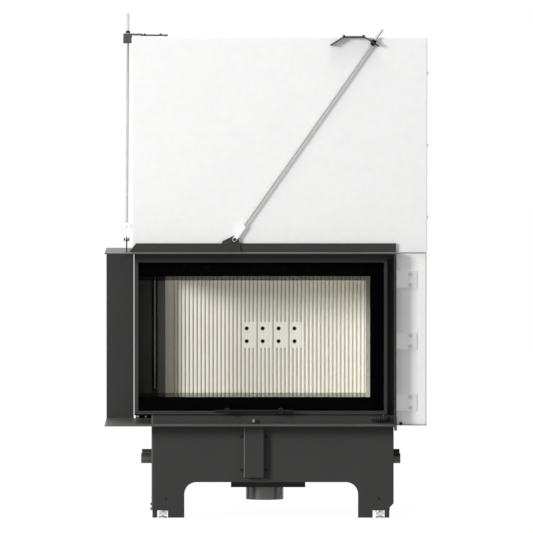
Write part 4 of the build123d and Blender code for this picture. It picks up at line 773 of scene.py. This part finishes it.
# metres, from the boxes of the pieces that the nuts and bolts sit on
HALF_BOLT = 0.006  # half a clevis bolt's head
HALF_ROD = 0.004
NUT_THICK = 0.007
LOCK_NUT_THICK = 0.006
HAT_SIDE = 0.0457  # sloping side of a hat bracket, seen from above
ARM_BOLT_HEAD = 0.0035
ARM_BOLT_FRONT = 0.014  # front bolts of the right arm
ARM_BOLT_REAR = 0.091
SIDE_BOLT_NEAR = 0.0392  # bolts of the left arm
SIDE_BOLT_FAR = 0.0924
SIDE_BOLT_IN = 0.077
RIVET_IN = 0.0508
RIVET_DROP = 0.0104
RIVET_HEAD = 0.002
SMALL_HEAD = 0.006  # across flats


class INSERT_OT_stay_nuts(bpy.types.Operator):
    """Fit the nuts where the stay rods pass the hat brackets, and the bolts of the brackets' arms"""
    bl_idname = "insert.stay_nuts"
    bl_label = "Stay nuts and bracket bolts"

    def execute(self, context):
        fixing = context.scene.insert_fixing
        rod_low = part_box("stay_rods")[0]
        bolt_low, bolt_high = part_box("clevis_bolts")
        lug_low, lug_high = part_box("stay_lugs")
        hat_low, hat_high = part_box("hat_brackets")
        shaft_low, shaft_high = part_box("shaft_cover")
        strap = fixing.strap
        pivot_z = (bolt_low[2] + bolt_high[2]) / 2
        rise = shaft_high[2] + strap / 2 - pivot_z
        rods = (
            (Vector((bolt_high[0] - HALF_BOLT, rod_low[1] + HALF_ROD, pivot_z)), fixing.right_lean,
             Vector((1, 0, 0)), rise),
            (Vector((rod_low[0] + HALF_ROD, bolt_high[1] - HALF_BOLT, pivot_z)), fixing.left_lean,
             Vector((0, 1, 0)), rise + fixing.left_raise),
        )
        seats = []
        for origin, lean, side, height in rods:
            along = side * math.sin(lean) + Vector((0, 0, math.cos(lean)))
            crossing = rod_crossing(height, lean, fixing)
            for turn in (-1, 1):
                seats.append((origin + along * (crossing + turn * strap / 2), along * turn))
        parts = add_hexes(seats, fixing.nut_across, NUT_THICK)
        # the last rod above is the left one, which carries the lock nut
        lock_seat = (origin + along * (crossing + fixing.lock_nut), along)
        parts += add_hexes([lock_seat], fixing.nut_across, LOCK_NUT_THICK, washer=False)
        across = fixing.bolt_across
        top = shaft_high[2] + strap
        flat_end = hat_high[0] - HAT_SIDE
        flat_start = flat_end - fixing.hat_flat
        seats = []
        for x in (flat_start + 0.5 * across, flat_end - 0.5 * across):
            for y in (hat_low[1] + ARM_BOLT_FRONT, shaft_low[1] + ARM_BOLT_REAR):
                seats.append(((x, y, top), (0, 0, 1)))
        for x in (shaft_low[0] + SIDE_BOLT_NEAR, shaft_low[0] + SIDE_BOLT_FAR):
            seats.append(((x, hat_high[1] - SIDE_BOLT_IN, top), (0, 0, 1)))
        parts += add_hexes(seats, across, ARM_BOLT_HEAD, washer=False)
        finish_piece(join_pieces(parts), "stay_nuts", "shade", "chassis")
        rivet_seat = ((lug_high[0] - RIVET_IN, lug_low[1], pivot_z - RIVET_DROP), (0, -1, 0))
        rivet = add_hexes([rivet_seat], SMALL_HEAD, RIVET_HEAD, washer=False)[0]
        # the rivet takes the same coat, lightened to make up for shade
        finish_piece(rivet, "lug_rivet", "tube", "chassis")
        return {"FINISHED"}


# metres, from the legs, the deck and the latch
LEG_SCREW_LEFT = 0.048
LEG_SCREW_RIGHT = 0.0485
LEG_SCREW_DROP = 0.002
LEG_SCREW_HEAD = 0.0015
LEG_BOLT_IN = 0.02
LEG_BOLT_HEIGHTS = (0.0315, 0.047)
LEG_BOLT_HEAD = 0.004  # also the deck's bolts
DECK_BOLTS = ((0.0045, 0.006), (0.0085, 0.006), (0.033, 0.005))  # from the deck's left edge, across flats
DECK_BOLT_RISE = 0.005
LATCH_SCREW_ACROSS = 0.005
LATCH_SCREW_IN = 0.0115
LATCH_SCREW_DROP = 0.0015
LATCH_SCREW_HEAD = 0.0018  # thin enough to pass the latch's ribs


class INSERT_OT_base_fixings(bpy.types.Operator):
    """Screws and small bolts of the legs, and the bright bolt heads behind the door's foot"""
    bl_idname = "insert.base_fixings"
    bl_label = "Base fixings"

    def execute(self, context):
        across = context.scene.insert_fixing.leg_bolt
        low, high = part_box("base_end_plates")
        stud_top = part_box("foot_front_left")[1][2]
        seats = [((x, low[1], stud_top - LEG_SCREW_DROP), (0, -1, 0))
                 for x in (low[0] + LEG_SCREW_LEFT, high[0] - LEG_SCREW_RIGHT)]
        parts = add_hexes(seats, SMALL_HEAD, LEG_SCREW_HEAD, washer=False)
        seats = [((low[0], y, z), (-1, 0, 0))
                 for y in (low[1] + LEG_BOLT_IN, high[1] - LEG_BOLT_IN) for z in LEG_BOLT_HEIGHTS]
        parts += add_hexes(seats, across, LEG_BOLT_HEAD, washer=False)
        finish_piece(join_pieces(parts), "base_bolts", "shade", "chassis")
        deck_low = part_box("deck")[0]
        leaf_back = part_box("door_frame")[1][1]
        bright = []
        for offset, size in DECK_BOLTS:
            seat = ((deck_low[0] + offset, leaf_back, deck_low[2] + DECK_BOLT_RISE), (0, -1, 0))
            bright += add_hexes([seat], size, LEG_BOLT_HEAD, washer=False)
        barrel_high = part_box("latch_barrel")[1]
        seat = ((barrel_high[0] - LATCH_SCREW_IN, low[1], barrel_high[2] - LATCH_SCREW_DROP), (0, -1, 0))
        bright += add_hexes([seat], LATCH_SCREW_ACROSS, LATCH_SCREW_HEAD, washer=False)
        finish_piece(join_pieces(bright), "sill_bolts", "zinc", "chassis")
        return {"FINISHED"}


STOP_GAP = 0.0108  # from the upstand's right end
STOP_WIDE = 0.0089
STOP_DEEP = 0.007
STOP_TALL = 0.0085
STOP_EDGE = 0.001


class INSERT_OT_strip_stop(bpy.types.Operator):
    """Add the small stop block on the casing's floor strip"""
    bl_idname = "insert.strip_stop"
    bl_label = "Strip stop"

    def execute(self, context):
        casing_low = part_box("right_casing")[0]
        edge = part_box("upstand")[1][0] + STOP_GAP
        block = add_plate((edge, casing_low[1] - STOP_DEEP / 2, casing_low[2]),
                          (edge + STOP_WIDE, casing_low[1] + STOP_DEEP / 2, casing_low[2] + STOP_TALL))
        bevel_all(block, STOP_EDGE)
        finish_piece(block, "strip_stop", "shade", "chassis")
        return {"FINISHED"}


def mix_for_camera(tree, plain, seen):
    """Show one shader to the camera, mirrors and glass, and another to the light."""
    path = tree.nodes.new("ShaderNodeLightPath")
    either = maths(tree, "MAXIMUM", path.outputs["Is Camera Ray"], path.outputs["Is Transmission Ray"])
    either = maths(tree, "MAXIMUM", either, path.outputs["Is Glossy Ray"])
    mix = tree.nodes.new("ShaderNodeMixShader")
    tree.links.new(either, mix.inputs["Fac"])
    tree.links.new(plain, mix.inputs[1])
    tree.links.new(seen, mix.inputs[2])
    return mix.outputs["Shader"]


class INSERT_OT_stage(bpy.types.Operator):
    """Set the camera, the floor, the lamps and the white surroundings"""
    bl_idname = "insert.stage"
    bl_label = "Stage"

    def execute(self, context):
        settings = context.scene.insert_stage
        scene = context.scene
        camera_data = bpy.data.cameras.new("Front camera")
        camera = bpy.data.objects.new("Front camera", camera_data)
        scene.collection.objects.link(camera)
        front = CAD_BOUNDS[0][1]
        spot = Vector((settings.camera_side, front - settings.distance, settings.eye_height))
        aim = Vector((settings.aim_side, front, settings.aim_height))
        camera.location = spot
        camera.rotation_euler = (aim - spot).to_track_quat("-Z", "Y").to_euler()
        camera_data.lens = camera_data.sensor_width * (aim - spot).length / settings.frame_width
        camera_data.clip_end = 200.0
        scene.camera = camera

        clear_selection()
        bpy.ops.mesh.primitive_plane_add(size=settings.floor_side, location=(0.0, 0.0, -settings.floor_drop))
        floor = context.object
        floor.name = "floor"
        material = bpy.data.materials.new("Pale Floor")
        material.use_nodes = True
        tree = material.node_tree
        shader = tree.nodes["Principled BSDF"]
        shader.inputs["Base Color"].default_value = (0.5, 0.5, 0.5, 1.0)
        shader.inputs["Roughness"].default_value = 0.9
        glow = tree.nodes.new("ShaderNodeEmission")
        glow.inputs["Strength"].default_value = 1.14
        dim = tree.nodes.new("ShaderNodeMixShader")
        dim.inputs["Fac"].default_value = 0.85
        tree.links.new(shader.outputs["BSDF"], dim.inputs[1])
        tree.links.new(glow.outputs["Emission"], dim.inputs[2])
        output = tree.nodes["Material Output"]
        tree.links.new(mix_for_camera(tree, shader.outputs["BSDF"], dim.outputs["Shader"]), output.inputs["Surface"])
        floor.data.materials.append(material)

        world = bpy.data.worlds.new("White Surroundings")
        world.use_nodes = True
        scene.world = world
        tree = world.node_tree
        light = tree.nodes["Background"]
        light.inputs["Color"].default_value = (1.0, 1.0, 1.0, 1.0)
        light.inputs["Strength"].default_value = settings.sky
        white = tree.nodes.new("ShaderNodeBackground")
        white.inputs["Color"].default_value = (1.0, 1.0, 1.0, 1.0)
        white.inputs["Strength"].default_value = 1.0
        tree.links.new(mix_for_camera(tree, light.outputs["Background"], white.outputs["Background"]),
                       tree.nodes["World Output"].inputs["Surface"])

        target = Vector(settings.lit_point)
        lamps = (
            ("Key lamp", Vector(settings.key_place), settings.key_wide, settings.key_tall, settings.key_power),
            ("Top lamp", Vector(settings.top_place), settings.top_side, settings.top_side, settings.top_power),
        )
        for name, offset, wide, tall, power in lamps:
            data = bpy.data.lights.new(name, "AREA")
            data.shape = "RECTANGLE"
            data.size, data.size_y = wide, tall
            data.energy = power
            lamp = bpy.data.objects.new(name, data)
            lamp.location = target + offset
            lamp.rotation_euler = (-offset).to_track_quat("-Z", "Y").to_euler()
            scene.collection.objects.link(lamp)
        scene.view_settings.view_transform = "Standard"
        return {"FINISHED"}


class INSERT_PT_panel(bpy.types.Panel):
    """Lists the steps that finish the insert"""
    bl_idname = "INSERT_PT_panel"
    bl_label = "Corner Insert"
    bl_space_type = "VIEW_3D"
    bl_region_type = "UI"
    bl_category = "Insert"

    def draw(self, context):
        column = self.layout.column()
        for step in STEPS:
            column.operator("insert." + step)


STEPS = ("finishes", "glass_print", "stay_nuts", "base_fixings", "strip_stop", "latch_ribs", "stage")
CLASSES = (
    InsertFinishSettings,
    InsertGlassSettings,
    InsertStageSettings,
    InsertFixingSettings,
    INSERT_OT_finishes,
    INSERT_OT_glass_print,
    INSERT_OT_stay_nuts,
    INSERT_OT_base_fixings,
    INSERT_OT_strip_stop,
    INSERT_OT_latch_ribs,
    INSERT_OT_stage,
    INSERT_PT_panel,
)


def register():
    for cls in CLASSES:
        bpy.utils.register_class(cls)
    bpy.types.Scene.insert_finish = bpy.props.PointerProperty(type=InsertFinishSettings)
    bpy.types.Scene.insert_glass = bpy.props.PointerProperty(type=InsertGlassSettings)
    bpy.types.Scene.insert_stage = bpy.props.PointerProperty(type=InsertStageSettings)
    bpy.types.Scene.insert_fixing = bpy.props.PointerProperty(type=InsertFixingSettings)


def unregister():
    del bpy.types.Scene.insert_fixing
    del bpy.types.Scene.insert_stage
    del bpy.types.Scene.insert_glass
    del bpy.types.Scene.insert_finish
    for cls in reversed(CLASSES):
        bpy.utils.unregister_class(cls)


def main():
    register()
    bpy.ops.object.select_all(action="DESELECT")
    for step in STEPS:
        getattr(bpy.ops.insert, step)()


if __name__ == "__main__":
    main()
